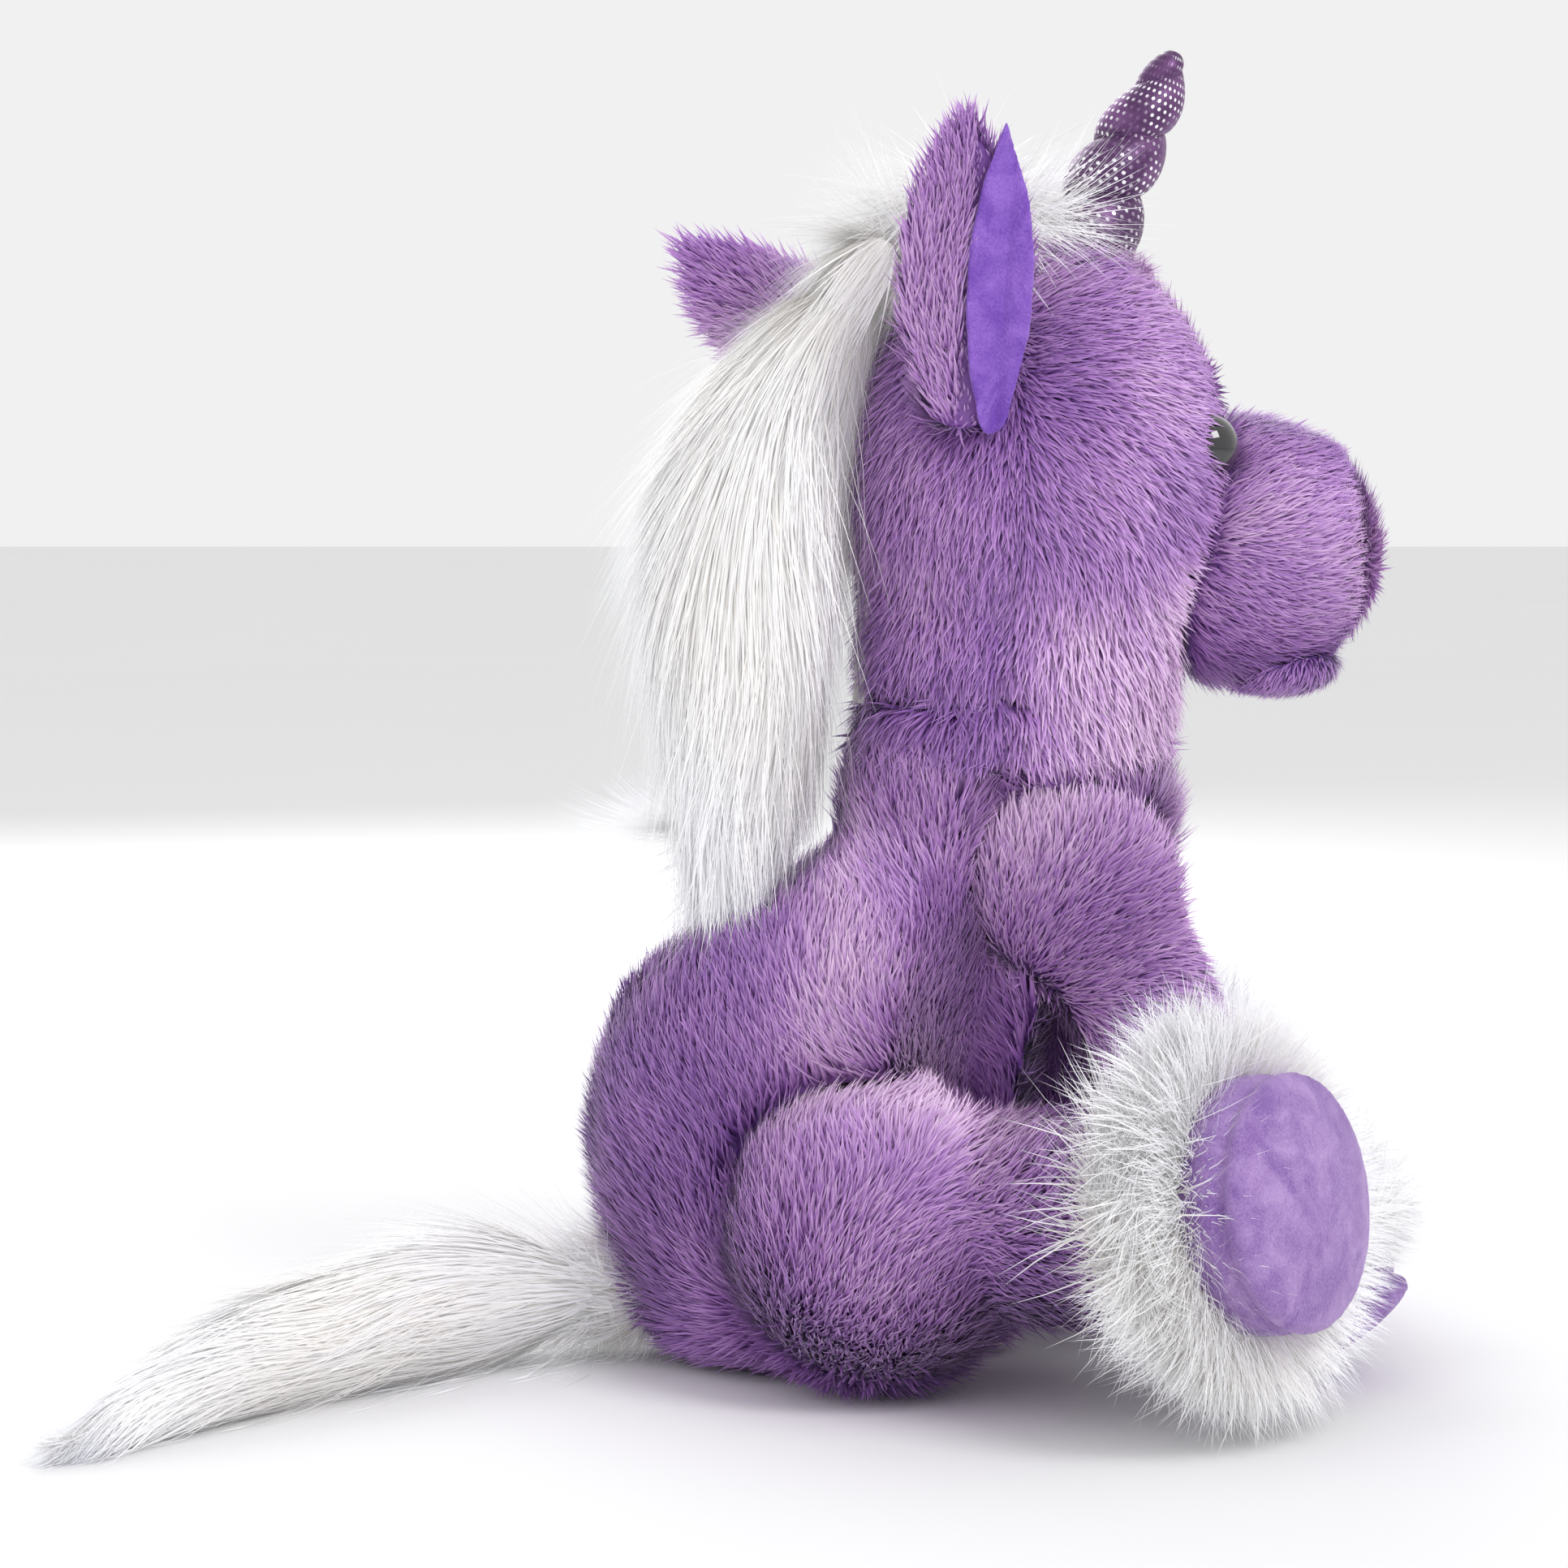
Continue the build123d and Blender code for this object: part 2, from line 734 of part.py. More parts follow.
# ------------------------------------------------------------------ tail
# The tail's gathered root turns in the torso, and the hair lifts on a knuckle behind it.
tail_centre = spot(tail_root.forward, -tail_root.right, tail_root.up)
tail_along = heading(0, -tail_root.heading)
tail_knuckle = tail_centre + tail_along * tail_knuckle_out

with BuildPart() as root_ball:
    add(ball(tail_centre, tail_ball_radius))
    add(ball(tail_knuckle, tail_knuckle_radius + running_gap), mode=Mode.SUBTRACT)
root_ball.part.label = "tail_root"
export_step(root_ball.part, "parts/tail_root.step")


def tail_section(place, along, half_width, half_height):
    """An upright oval across the tail."""
    with BuildSketch(Plane(origin=place, x_dir=(-along.Y, along.X, 0), z_dir=along)) as section:
        Ellipse(half_width, half_height)
    return section.sketch


with BuildPart() as tail_hair:
    add(tail_section(tail_knuckle, tail_along, tail_root.half_width, tail_root.half_height))
    for bend in tail_bends:
        place = spot(bend.forward, -bend.right, bend.up)
        add(tail_section(place, heading(0, -bend.heading), bend.half_width, bend.half_height))
    loft()
    add(ball(tail_knuckle, tail_knuckle_radius))
tail_hair.part.label = "tail_hair"
export_step(tail_hair.part, "parts/tail_hair.step")

# ------------------------------------------------------------------ legs
# Each leg is a stuffed plush tube with a long-pile cuff and a short-pile hoof with a domed sole.
for name, leg in limbs.items():
    sizes = leg.sizes
    ankle_at = sizes.length - sizes.hoof_wall
    with BuildPart() as leg_cover:
        add(leg_shape(leg, 0))
        add(leg_shape(leg, -pile_fabric), mode=Mode.SUBTRACT)
    leg_cover.part.label = f"{name}_cover"
    export_step(leg_cover.part, f"parts/{name}_cover.step")

    with BuildPart() as leg_filling:
        add(leg_shape(leg, -pile_fabric - filling_ease))
    leg_filling.part.label = f"{name}_filling"
    export_step(leg_filling.part, f"parts/{name}_filling.step")

    cuff_top = ankle_at - sizes.cuff_length
    slope = (sizes.top - sizes.ankle) / ankle_at
    with BuildPart() as cuff:
        with BuildSketch(leg.profile):
            Polygon(
                (sizes.top - slope * cuff_top + stitch_gap, cuff_top),
                (sizes.cuff_flare, ankle_at - sizes.cuff_lip),
                (sizes.cuff_flare, ankle_at),
                (sizes.ankle + stitch_gap, ankle_at),
                align=None,
            )
        revolve(axis=Axis(leg.joint, leg.direction))
    cuff.part.label = f"{name}_cuff"
    export_step(cuff.part, f"parts/{name}_cuff.step")

    with BuildPart() as hoof_wall:
        with BuildSketch(leg.profile):
            Polygon(
                (sizes.ankle - pile_fabric, ankle_at),
                (sizes.hoof_radius, ankle_at),
                (sizes.hoof_radius, sizes.length),
                (sizes.hoof_radius - hoof_fabric, sizes.length),
                (sizes.hoof_radius - hoof_fabric, ankle_at + hoof_fabric),
                (sizes.ankle - pile_fabric, ankle_at + hoof_fabric),
                align=None,
            )
        revolve(axis=Axis(leg.joint, leg.direction))
    hoof_wall.part.label = f"{name}_hoof_wall"
    export_step(hoof_wall.part, f"parts/{name}_hoof_wall.step")

    with BuildPart() as hoof_filling:
        with BuildSketch(leg.profile):
            Polygon(
                (0, ankle_at + hoof_fabric + filling_ease),
                (sizes.hoof_radius - hoof_fabric - filling_ease, ankle_at + hoof_fabric + filling_ease),
                (sizes.hoof_radius - hoof_fabric - filling_ease, sizes.length),
                (0, sizes.length),
                align=None,
            )
        revolve(axis=Axis(leg.joint, leg.direction))
    hoof_filling.part.label = f"{name}_hoof_filling"
    export_step(hoof_filling.part, f"parts/{name}_hoof_filling.step")

    sole_ball = dome_ball(sizes.hoof_radius, sizes.sole_dome)
    sole_centre = sizes.length + sizes.sole_dome - sole_ball
    halfway = math.asin(sizes.hoof_radius / sole_ball) / 2
    with BuildPart() as sole:
        with BuildSketch(leg.profile):
            with BuildLine():
                Line((0, sizes.length), (sizes.hoof_radius, sizes.length))
                ThreePointArc(
                    (sizes.hoof_radius, sizes.length),
                    (sole_ball * math.sin(halfway), sole_centre + sole_ball * math.cos(halfway)),
                    (0, sizes.length + sizes.sole_dome),
                )
                Line((0, sizes.length + sizes.sole_dome), (0, sizes.length))
            make_face()
        revolve(axis=Axis(leg.joint, leg.direction))
    sole.part.label = f"{name}_sole"
    export_step(sole.part, f"parts/{name}_sole.step")
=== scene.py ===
import json
import math

import bmesh
import bpy
import numpy as np
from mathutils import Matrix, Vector
from mathutils.bvhtree import BVHTree


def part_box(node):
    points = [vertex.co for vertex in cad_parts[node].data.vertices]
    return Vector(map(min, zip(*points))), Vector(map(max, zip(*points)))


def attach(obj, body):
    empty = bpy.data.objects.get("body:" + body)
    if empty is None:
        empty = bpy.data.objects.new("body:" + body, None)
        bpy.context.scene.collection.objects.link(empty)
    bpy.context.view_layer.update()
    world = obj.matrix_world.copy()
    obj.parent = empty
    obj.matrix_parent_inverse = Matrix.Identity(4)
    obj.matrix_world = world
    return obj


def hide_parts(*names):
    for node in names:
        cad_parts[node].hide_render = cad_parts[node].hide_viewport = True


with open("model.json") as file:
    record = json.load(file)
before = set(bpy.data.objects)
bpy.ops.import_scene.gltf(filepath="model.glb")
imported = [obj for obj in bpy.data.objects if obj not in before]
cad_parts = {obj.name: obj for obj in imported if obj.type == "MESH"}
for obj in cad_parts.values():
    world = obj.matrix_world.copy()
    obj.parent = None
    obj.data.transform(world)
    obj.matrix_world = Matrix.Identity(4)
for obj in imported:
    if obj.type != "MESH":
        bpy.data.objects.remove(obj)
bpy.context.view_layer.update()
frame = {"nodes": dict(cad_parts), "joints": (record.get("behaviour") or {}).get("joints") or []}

# ---------------------------------------------------------------- camera, light and floor
# The toy sits on a pale table top in the soft, almost shadowless light of a white studio tent. The
# camera stands square to the toy's right side, just above the middle of its height.
camera = bpy.data.objects.new("camera", bpy.data.cameras.new("camera"))
bpy.context.scene.collection.objects.link(camera)
camera.location = (-0.950, 0.0076, 0.200)
camera.rotation_euler = (math.radians(90 - 4.68), 0, math.radians(-90))
camera.data.sensor_width = 36
camera.data.lens = 102.9
camera.data.clip_start = 0.05
bpy.context.scene.camera = camera
bpy.context.scene.view_settings.view_transform = "Standard"


class Value:
    """A socket of a node tree. Arithmetic on it adds Math nodes, or Vector Math nodes for vectors."""

    def __init__(self, bench, socket):
        self.bench, self.socket = bench, socket

    def joined(self, operation, first, second):
        pair = (first, second)
        vectors = [
            v.socket.type == "VECTOR" if isinstance(v, Value) else isinstance(v, (tuple, Vector))
            for v in pair
        ]
        if not any(vectors):
            return self.bench.node("ShaderNodeMath", {0: first, 1: second}, operation=operation)
        if all(vectors):
            return self.bench.node("ShaderNodeVectorMath", {0: first, 1: second}, operation=operation)
        vector, number = pair if vectors[0] else pair[::-1]
        return self.bench.node("ShaderNodeVectorMath", {0: vector, "Scale": number}, operation="SCALE")

    def __add__(self, other):
        return self.joined("ADD", self, other)

    def __sub__(self, other):
        return self.joined("SUBTRACT", self, other)

    def __rsub__(self, other):
        return self.joined("SUBTRACT", other, self)

    def __mul__(self, other):
        return self.joined("MULTIPLY", self, other)

    __radd__, __rmul__ = __add__, __mul__


class Bench:
    """A node tree being put together."""

    def __init__(self, tree):
        self.tree = tree

    def node(self, kind, inputs=None, out=0, stops=None, **settings):
        """Adds a node with its settings and the values or links of its sockets, and gives one output."""
        node = self.tree.nodes.new(kind)
        for name, setting in settings.items():
            setattr(node, name, setting)
        if stops:
            while len(node.color_ramp.elements) < len(stops):
                node.color_ramp.elements.new(1)
            for element, (place, colour) in zip(node.color_ramp.elements, stops):
                element.position = place
                element.color = (*colour, 1)
        for key, value in (inputs or {}).items():
            socket = node.inputs[key]
            if isinstance(value, Value):
                self.tree.links.new(value.socket, socket)
            else:
                socket.default_value = value
        return Value(self, node.outputs[out])

    def mixed(self, factor, first, second):
        """One colour turning into another by a factor."""
        return self.node("ShaderNodeMix", {0: factor, 6: first, 7: second}, out=2, data_type="RGBA")

    def finished(self, colour, roughness, bump=None, bump_height=0.001, bump_strength=1.0, **fixed):
        """The surface shader: what varies is linked, and what is the same all over is set on it."""
        shader = self.tree.nodes["Principled BSDF"]
        for socket, value in (("Base Color", colour), ("Roughness", roughness)):
            if isinstance(value, Value):
                self.tree.links.new(value.socket, shader.inputs[socket])
            else:
                shader.inputs[socket].default_value = value
        for socket, value in fixed.items():
            shader.inputs[socket.replace("_", " ")].default_value = value
        if bump is not None:
            normal = self.node(
                "ShaderNodeBump", {"Height": bump, "Distance": bump_height, "Strength": bump_strength}
            )
            self.tree.links.new(normal.socket, shader.inputs["Normal"])


def material(name):
    """A new material and the bench for its nodes."""
    made = bpy.data.materials.new(name)
    made.use_nodes = True
    return made, Bench(made.node_tree)


world = bpy.data.worlds.new("tent")
world.use_nodes = True
world.node_tree.nodes["Background"].inputs["Color"].default_value = (1.0, 1.0, 1.0, 1)
world.node_tree.nodes["Background"].inputs["Strength"].default_value = 0.88
bpy.context.scene.world = world

tent_lights = {
    "key": ((-0.70, -0.60, 0.95), 0.45, 5.5),
    "fill": ((-0.9, 0.6, 0.35), 0.8, 1.2),
    "rim": ((0.9, 0.25, 0.7), 0.9, 5),
}
for name, (place, width, power) in tent_lights.items():
    lamp = bpy.data.lights.new(name, "AREA")
    lamp.shape, lamp.size, lamp.energy = "SQUARE", width, power
    light = bpy.data.objects.new(name, lamp)
    light.location = place
    light.rotation_euler = (Vector((0, -0.02, 0.12)) - Vector(place)).to_track_quat("-Z", "Y").to_euler()
    bpy.context.scene.collection.objects.link(light)

table_half = 6.0
table_corners = [(-1, -1), (1, -1), (1, 1), (-1, 1)]
table_mesh = bpy.data.meshes.new("table_top")
table_mesh.from_pydata(
    [(x * table_half, y * table_half, 0) for x, y in table_corners],
    [],
    [(0, 1, 2, 3)],
)
table_top = bpy.data.objects.new("table_top", table_mesh)
bpy.context.scene.collection.objects.link(table_top)
table_top_paint, bench = material("table_top_paint")
place = bench.node("ShaderNodeTexCoord", out="Object")
cloud = bench.node("ShaderNodeTexNoise", {"Vector": place, "Scale": 3.0})
bench.finished(bench.mixed(cloud, (0.83, 0.83, 0.84, 1), (0.85, 0.85, 0.855, 1)), 0.9)
table_mesh.materials.append(table_top_paint)

# ---------------------------------------------------------------- plush fabric
# The plush is a knitted backing with a thick pile of glossy polyester, brushed into small pointed
# locks. It is violet at the root and pale mauve at the tip, partly from its dye and partly as painted
# shade down in the pile and painted highlight at the tips. Its colour changes from patch to patch at
# random, and some places carry painted highlights and others painted shade. Each sewn part is its
# stuffed backing with the pile on it.
mm = 0.001
nodes = frame["nodes"]
joints = {joint["name"]: joint for joint in frame["joints"]}


def joint_place(name):
    return Vector(joints[name]["pos_m"])


def joint_axis(name):
    return Vector(joints[name]["axis"]).normalized()


def new_piece(name, mesh, *materials):
    piece = bpy.data.objects.new(name, mesh)
    bpy.context.scene.collection.objects.link(piece)
    for each in materials:
        mesh.materials.append(each)
    return piece


def applied(piece):
    """The piece's mesh with its modifiers carried out, as a new plain mesh on the piece."""
    graph = bpy.context.evaluated_depsgraph_get()
    mesh = bpy.data.meshes.new_from_object(piece.evaluated_get(graph), depsgraph=graph)
    piece.modifiers.clear()
    piece.data = mesh
    return piece


def points_of(piece):
    flat = np.empty(len(piece.data.vertices) * 3, np.float32)
    piece.data.vertices.foreach_get("co", flat)
    return flat.reshape(-1, 3).astype(float)


def normals_of(piece):
    flat = np.empty(len(piece.data.vertices) * 3, np.float32)
    piece.data.vertices.foreach_get("normal", flat)
    return flat.reshape(-1, 3).astype(float)


def set_points(piece, points):
    piece.data.vertices.foreach_set("co", points.astype(np.float32).ravel())
    piece.data.update()


def stuffed(piece, room):
    """The piece swollen by its filling, no point moving further than room."""
    start = points_of(piece)
    cloth = piece.modifiers.new("cloth", "CLOTH")
    cloth.settings.use_pressure = True
    cloth.settings.uniform_pressure_force = 4
    cloth.settings.effector_weights.gravity = 0
    for step in range(1, 21):
        bpy.context.scene.frame_set(step)
    graph = bpy.context.evaluated_depsgraph_get()
    swollen = np.empty(start.size, np.float32)
    piece.evaluated_get(graph).data.vertices.foreach_get("co", swollen)
    piece.modifiers.clear()
    bpy.context.scene.frame_set(1)
    move = swollen.reshape(-1, 3) - start
    length = np.linalg.norm(move, axis=1, keepdims=True)
    set_points(piece, start + move * np.minimum(1, room / np.maximum(length, 1e-9)))
    return piece


def backing(name, parts, voxel, drawn_in=0.0, smoothing=4, swell=0.0):
    """One closed skin round CAD parts, drawn in by the depth of the backing and swollen by its filling."""
    joined = bmesh.new()
    for part in parts:
        joined.from_mesh(nodes[part].data)
    bmesh.ops.remove_doubles(joined, verts=joined.verts, dist=1e-6)
    mesh = bpy.data.meshes.new(name)
    joined.to_mesh(mesh)
    joined.free()
    piece = new_piece(name, mesh)
    remesh = piece.modifiers.new("remesh", "REMESH")
    remesh.mode, remesh.voxel_size = "VOXEL", voxel
    smooth = piece.modifiers.new("smooth", "SMOOTH")
    smooth.factor, smooth.iterations = 0.5, smoothing
    applied(piece)
    only_outside(piece)
    if drawn_in:
        set_points(piece, points_of(piece) - normals_of(piece) * drawn_in)
    if swell:
        stuffed(piece, swell)
    return piece


def only_outside(piece):
    """Removes the closed skins inside the largest one."""
    skin = bmesh.new()
    skin.from_mesh(piece.data)
    left, groups = set(skin.verts), []
    while left:
        group, edge = set(), [left.pop()]
        while edge:
            vertex = edge.pop()
            group.add(vertex)
            for link in vertex.link_edges:
                other = link.other_vert(vertex)
                if other in left:
                    left.remove(other)
                    edge.append(other)
        groups.append(group)
    groups.sort(key=len)
    for group in groups[:-1]:
        bmesh.ops.delete(skin, geom=list(group), context="VERTS")
    skin.to_mesh(piece.data)
    skin.free()


def facing(skin, parts, reach):
    """1 where a skin faces other CAD parts closer than reach, and 0 elsewhere."""
    corners, faces = [], []
    for part in parts:
        start = len(corners)
        corners += [tuple(vertex.co) for vertex in nodes[part].data.vertices]
        faces += [tuple(start + k for k in face.vertices) for face in nodes[part].data.polygons]
    surface = BVHTree.FromPolygons(corners, faces)
    hidden = []
    for point, normal in zip(points_of(skin), normals_of(skin)):
        near, _, _, distance = surface.find_nearest(Vector(point))
        towards = np.array(near) - point
        hidden.append(distance < reach and towards @ normal > 0.3 * distance)
    return np.array(hidden, float)


def ripple(points, size, seed):
    """A smooth random value from -1 to 1 at each point, with bumps of about that size."""
    draw = np.random.default_rng(seed)
    total = np.zeros(len(points))
    waves = 6
    for _ in range(waves):
        direction = draw.normal(size=3)
        direction *= 2 * math.pi / (size * 2.2 * draw.uniform(0.7, 1.4)) / np.linalg.norm(direction)
        total += np.sin(points @ direction + draw.uniform(0, 2 * math.pi))
    return np.clip(total / waves * 1.9, -1, 1)


def step_up(values, start, end):
    """0 before start, 1 after end, and smooth between."""
    t = np.clip((values - start) / (end - start), 0, 1)
    return t * t * (3 - 2 * t)


def unit(vectors):
    return vectors / np.maximum(np.linalg.norm(vectors, axis=-1, keepdims=True), 1e-9)


def groomed(skin, comb, pile=1.0, thick=1.0, tint=0.5, swirl=0.35, seed=1):
    """Sets how the pile lies on a skin: its comb direction, length, density and shade at each point; the
    shade holds random patches and painted light.
    """
    points, normals = points_of(skin), normals_of(skin)
    comb = unit(np.broadcast_to(comb, points.shape).astype(float))
    stray = np.stack([ripple(points, 0.016, seed * 10 + k) for k in range(3)], axis=1)
    comb = comb + stray * swirl
    comb = unit(comb - normals * np.sum(comb * normals, axis=1, keepdims=True))
    count = len(points)
    for name, values in (("pile", pile), ("thick", thick), ("tint", tint)):
        layer = skin.data.attributes.new(name, "FLOAT", "POINT")
        layer.data.foreach_set("value", np.broadcast_to(values, (count,)).astype(np.float32))
    layer = skin.data.attributes.new("comb", "FLOAT_VECTOR", "POINT")
    layer.data.foreach_set("vector", comb.astype(np.float32).ravel())
    return skin


def lock_mesh(name, rings, bend, taper):
    """One unit-long lock of pile: a tapered strip that stands on its root and bends over towards X."""
    vertices, faces, heights = [], [], []
    for k in range(rings):
        t = k / rings
        half = 0.5 * (1 - t**taper)
        across = bend * t**2
        vertices += [(across, -half, t), (across, half, t)]
        heights += [t, t]
        if k:
            a = 2 * k
            faces.append((a - 2, a - 1, a + 1, a))
    vertices.append((bend, 0, 1))
    heights.append(1)
    a = 2 * rings
    faces.append((a - 2, a - 1, a))
    mesh = bpy.data.meshes.new(name)
    mesh.from_pydata(vertices, [], faces)
    layer = mesh.attributes.new("height", "FLOAT", "POINT")
    layer.data.foreach_set("value", np.array(heights, np.float32))
    return new_piece(name, mesh)


pile_tree = bpy.data.node_groups.new("pile", "GeometryNodeTree")
sockets = [
    ("Backing", "NodeSocketGeometry"),
    ("Lock", "NodeSocketObject"),
    ("Locks per square metre", "NodeSocketFloat"),
    ("Length", "NodeSocketFloat"),
    ("Width", "NodeSocketFloat"),
    ("Lean", "NodeSocketFloat"),
    ("Disorder", "NodeSocketFloat"),
    ("Shade spread", "NodeSocketFloat"),
    ("Seed", "NodeSocketInt"),
    ("Finish", "NodeSocketMaterial"),
]
for name, kind in sockets:
    pile_tree.interface.new_socket(name, in_out="INPUT", socket_type=kind)
pile_tree.interface.new_socket("Pile", in_out="OUTPUT", socket_type="NodeSocketGeometry")
bench = Bench(pile_tree)
given = pile_tree.nodes.new("NodeGroupInput")
ask = {name: Value(bench, given.outputs[name]) for name, _ in sockets}


def attribute(name, kind="FLOAT"):
    return bench.node("GeometryNodeInputNamedAttribute", {"Name": name}, data_type=kind)


def random_value(low, high, offset):
    return bench.node(
        "FunctionNodeRandomValue", {2: low, 3: high, "Seed": ask["Seed"] + offset}, out=1, data_type="FLOAT"
    )


scatter = bench.node(
    "GeometryNodeDistributePointsOnFaces",
    {
        "Mesh": ask["Backing"],
        "Density": ask["Locks per square metre"] * attribute("thick"),
        "Seed": ask["Seed"],
    },
)
root_normal = Value(bench, scatter.socket.node.outputs["Normal"])
stray = bench.node(
    "FunctionNodeRandomValue",
    {0: (-1, -1, -1), 1: (1, 1, 1), "Seed": ask["Seed"] + 1},
    data_type="FLOAT_VECTOR",
)
comb_line = attribute("comb", "FLOAT_VECTOR") + stray * ask["Disorder"]
upright = bench.node(
    "FunctionNodeAlignRotationToVector",
    {"Vector": root_normal + comb_line * ask["Lean"]},
    axis="Z",
)
turned = bench.node(
    "FunctionNodeAlignRotationToVector",
    {"Rotation": upright, "Vector": comb_line},
    axis="X",
    pivot_axis="Z",
)
lock_length = ask["Length"] * attribute("pile")
lock_scale = bench.node(
    "ShaderNodeCombineXYZ",
    {
        "X": lock_length * random_value(0.4, 1.3, 2),
        "Y": ask["Width"] * random_value(0.7, 1.3, 3),
        "Z": lock_length * random_value(0.7, 1.2, 4),
    },
)
lock_shape = bench.node("GeometryNodeObjectInfo", {"Object": ask["Lock"]}, out="Geometry")
planted = bench.node(
    "GeometryNodeInstanceOnPoints",
    {"Points": scatter, "Instance": lock_shape, "Rotation": turned, "Scale": lock_scale},
)
shaded = bench.node(
    "GeometryNodeStoreNamedAttribute",
    {
        "Geometry": planted,
        "Name": "tint",
        "Value": attribute("tint") + random_value(-1.0, 1.0, 5) * ask["Shade spread"],
    },
    data_type="FLOAT",
    domain="INSTANCE",
)
whole = bench.node("GeometryNodeJoinGeometry")
for part in (ask["Backing"], shaded):
    pile_tree.links.new(part.socket, whole.socket.node.inputs[0])
real = bench.node("GeometryNodeRealizeInstances", {"Geometry": whole})
smooth = bench.node("GeometryNodeSetShadeSmooth", {0: real})
dressed = bench.node("GeometryNodeSetMaterial", {"Geometry": smooth, "Material": ask["Finish"]})
given_back = pile_tree.nodes.new("NodeGroupOutput")
pile_tree.links.new(dressed.socket, given_back.inputs[0])

floor_gap = 0.0004  # the pile that the toy sits on is pressed flat just above the table


def piled(skin, lock, finish, per_mm2, length, width, lean, disorder=0.25, spread=0.15, seed=1):
    """A skin with pile growing on it, as one plain mesh whose map holds height in the pile and shade."""
    modifier = skin.modifiers.new("pile", "NODES")
    modifier.node_group = pile_tree
    values = {
        "Lock": lock,
        "Locks per square metre": per_mm2 * 1e6 * 1.0,
        "Length": length,
        "Width": width * 1.0,
        "Lean": lean,
        "Disorder": disorder,
        "Shade spread": spread,
        "Seed": seed,
        "Finish": finish,
    }
    for item in pile_tree.interface.items_tree:
        if item.name in values:
            modifier[item.identifier] = values[item.name]
    skin.data.materials.clear()
    applied(skin)
    mesh = skin.data
    points = points_of(skin)
    draw = np.random.default_rng(seed)
    sunk = points[:, 2] < floor_gap
    points[sunk, 2] = floor_gap * draw.uniform(0.5, 1.5, sunk.sum())
    set_points(skin, points)
    corner = np.empty(len(mesh.loops), np.int32)
    mesh.loops.foreach_get("vertex_index", corner)
    drawn = []
    for name in ("height", "tint"):
        values = np.empty(len(mesh.vertices), np.float32)
        mesh.attributes[name].data.foreach_get("value", values)
        drawn.append(np.clip(values, 0.01, 0.99))
    for each in list(mesh.uv_layers):
        mesh.uv_layers.remove(each)
    flat = np.stack([drawn[0][corner], drawn[1][corner]], axis=1)
    mesh.uv_layers.new(name="OFBake").data.foreach_set("uv", flat.ravel())
    for name in ("height", "tint", "comb", "pile", "thick"):
        if name in mesh.attributes:
            mesh.attributes.remove(mesh.attributes[name])
    return skin


def pile_finish(name, dark, middle, light, roughness, **fixed):
    """The colour of a pile by height along a lock, in a dark, a middle and a light version; in the plush the
    dark roots and dark version are partly painted shade, the pale tips and light version painted highlight.
    """
    finish, paint = material(name)
    spot = paint.node("ShaderNodeUVMap", uv_map="OFBake")
    split = paint.node("ShaderNodeSeparateXYZ", {0: spot})
    shade = Value(paint, split.socket.node.outputs["Y"])
    places = (0.0, 0.35, 0.75, 1.0)
    ramps = [
        paint.node("ShaderNodeValToRGB", {0: split}, stops=list(zip(places, colours)))
        for colours in (dark, middle, light)
    ]
    low = paint.node("ShaderNodeMapRange", {0: shade, 1: 0.0, 2: 0.5})
    high = paint.node("ShaderNodeMapRange", {0: shade, 1: 0.5, 2: 1.0})
    colour = paint.mixed(high, paint.mixed(low, ramps[0], ramps[1]), ramps[2])
    paint.finished(colour, roughness, **fixed)
    return finish


# The dark and light ramps serve the random patches and the painted shade and painted highlights alike.
plush = pile_finish(
    "plush_pile",
    [(0.08, 0.024, 0.18), (0.20, 0.075, 0.34), (0.31, 0.14, 0.46), (0.42, 0.22, 0.56)],
    [(0.18, 0.06, 0.32), (0.37, 0.165, 0.51), (0.53, 0.275, 0.66), (0.68, 0.43, 0.76)],
    [(0.36, 0.17, 0.47), (0.62, 0.38, 0.69), (0.80, 0.57, 0.82), (0.93, 0.76, 0.93)],
    0.42,
    Specular_IOR_Level=0.5,
    Sheen_Weight=0.25,
    Sheen_Roughness=0.4,
)
lock = lock_mesh("plush_lock", 2, 0.45, 1.6)
strand = lock_mesh("hair_strand", 5, 0.35, 1.3)

# ---------------------------------------------------------------- torso
# The torso is two side covers and a flat seat panel of plush over loose filling. The pile lies up the
# flanks and outwards round the seat, and is painted paler on the shoulders as a highlight.
torso = backing(
    "torso_plush",
    ["torso_cover_left", "torso_cover_right", "seat_panel", "torso_filling"],
    2.8 * mm, drawn_in=0.8 * mm, swell=1.0 * mm,
)
torso_neighbours = [f"{end}_leg_{side}_cover" for end in ("front", "hind") for side in ("left", "right")]
head_neighbours = ["nape_panel", "face_panel_left", "face_panel_right"]
torso_hidden = facing(torso, torso_neighbours + head_neighbours, 3 * mm)
points, normals = points_of(torso), normals_of(torso)
up = points[:, 2]
neck_place = joint_place("head_turn")
outward = points - np.array([0, neck_place.y / 2, 0.03])
outward[:, 2] = 0
rise = step_up(up, 0.006, 0.034)[:, None]
comb = unit(outward) * (1 - rise) + np.array([0, 0.25, 1.0]) * rise
comb[:, 2] -= 0.4 * (1 - rise[:, 0])
front = -points[:, 1]
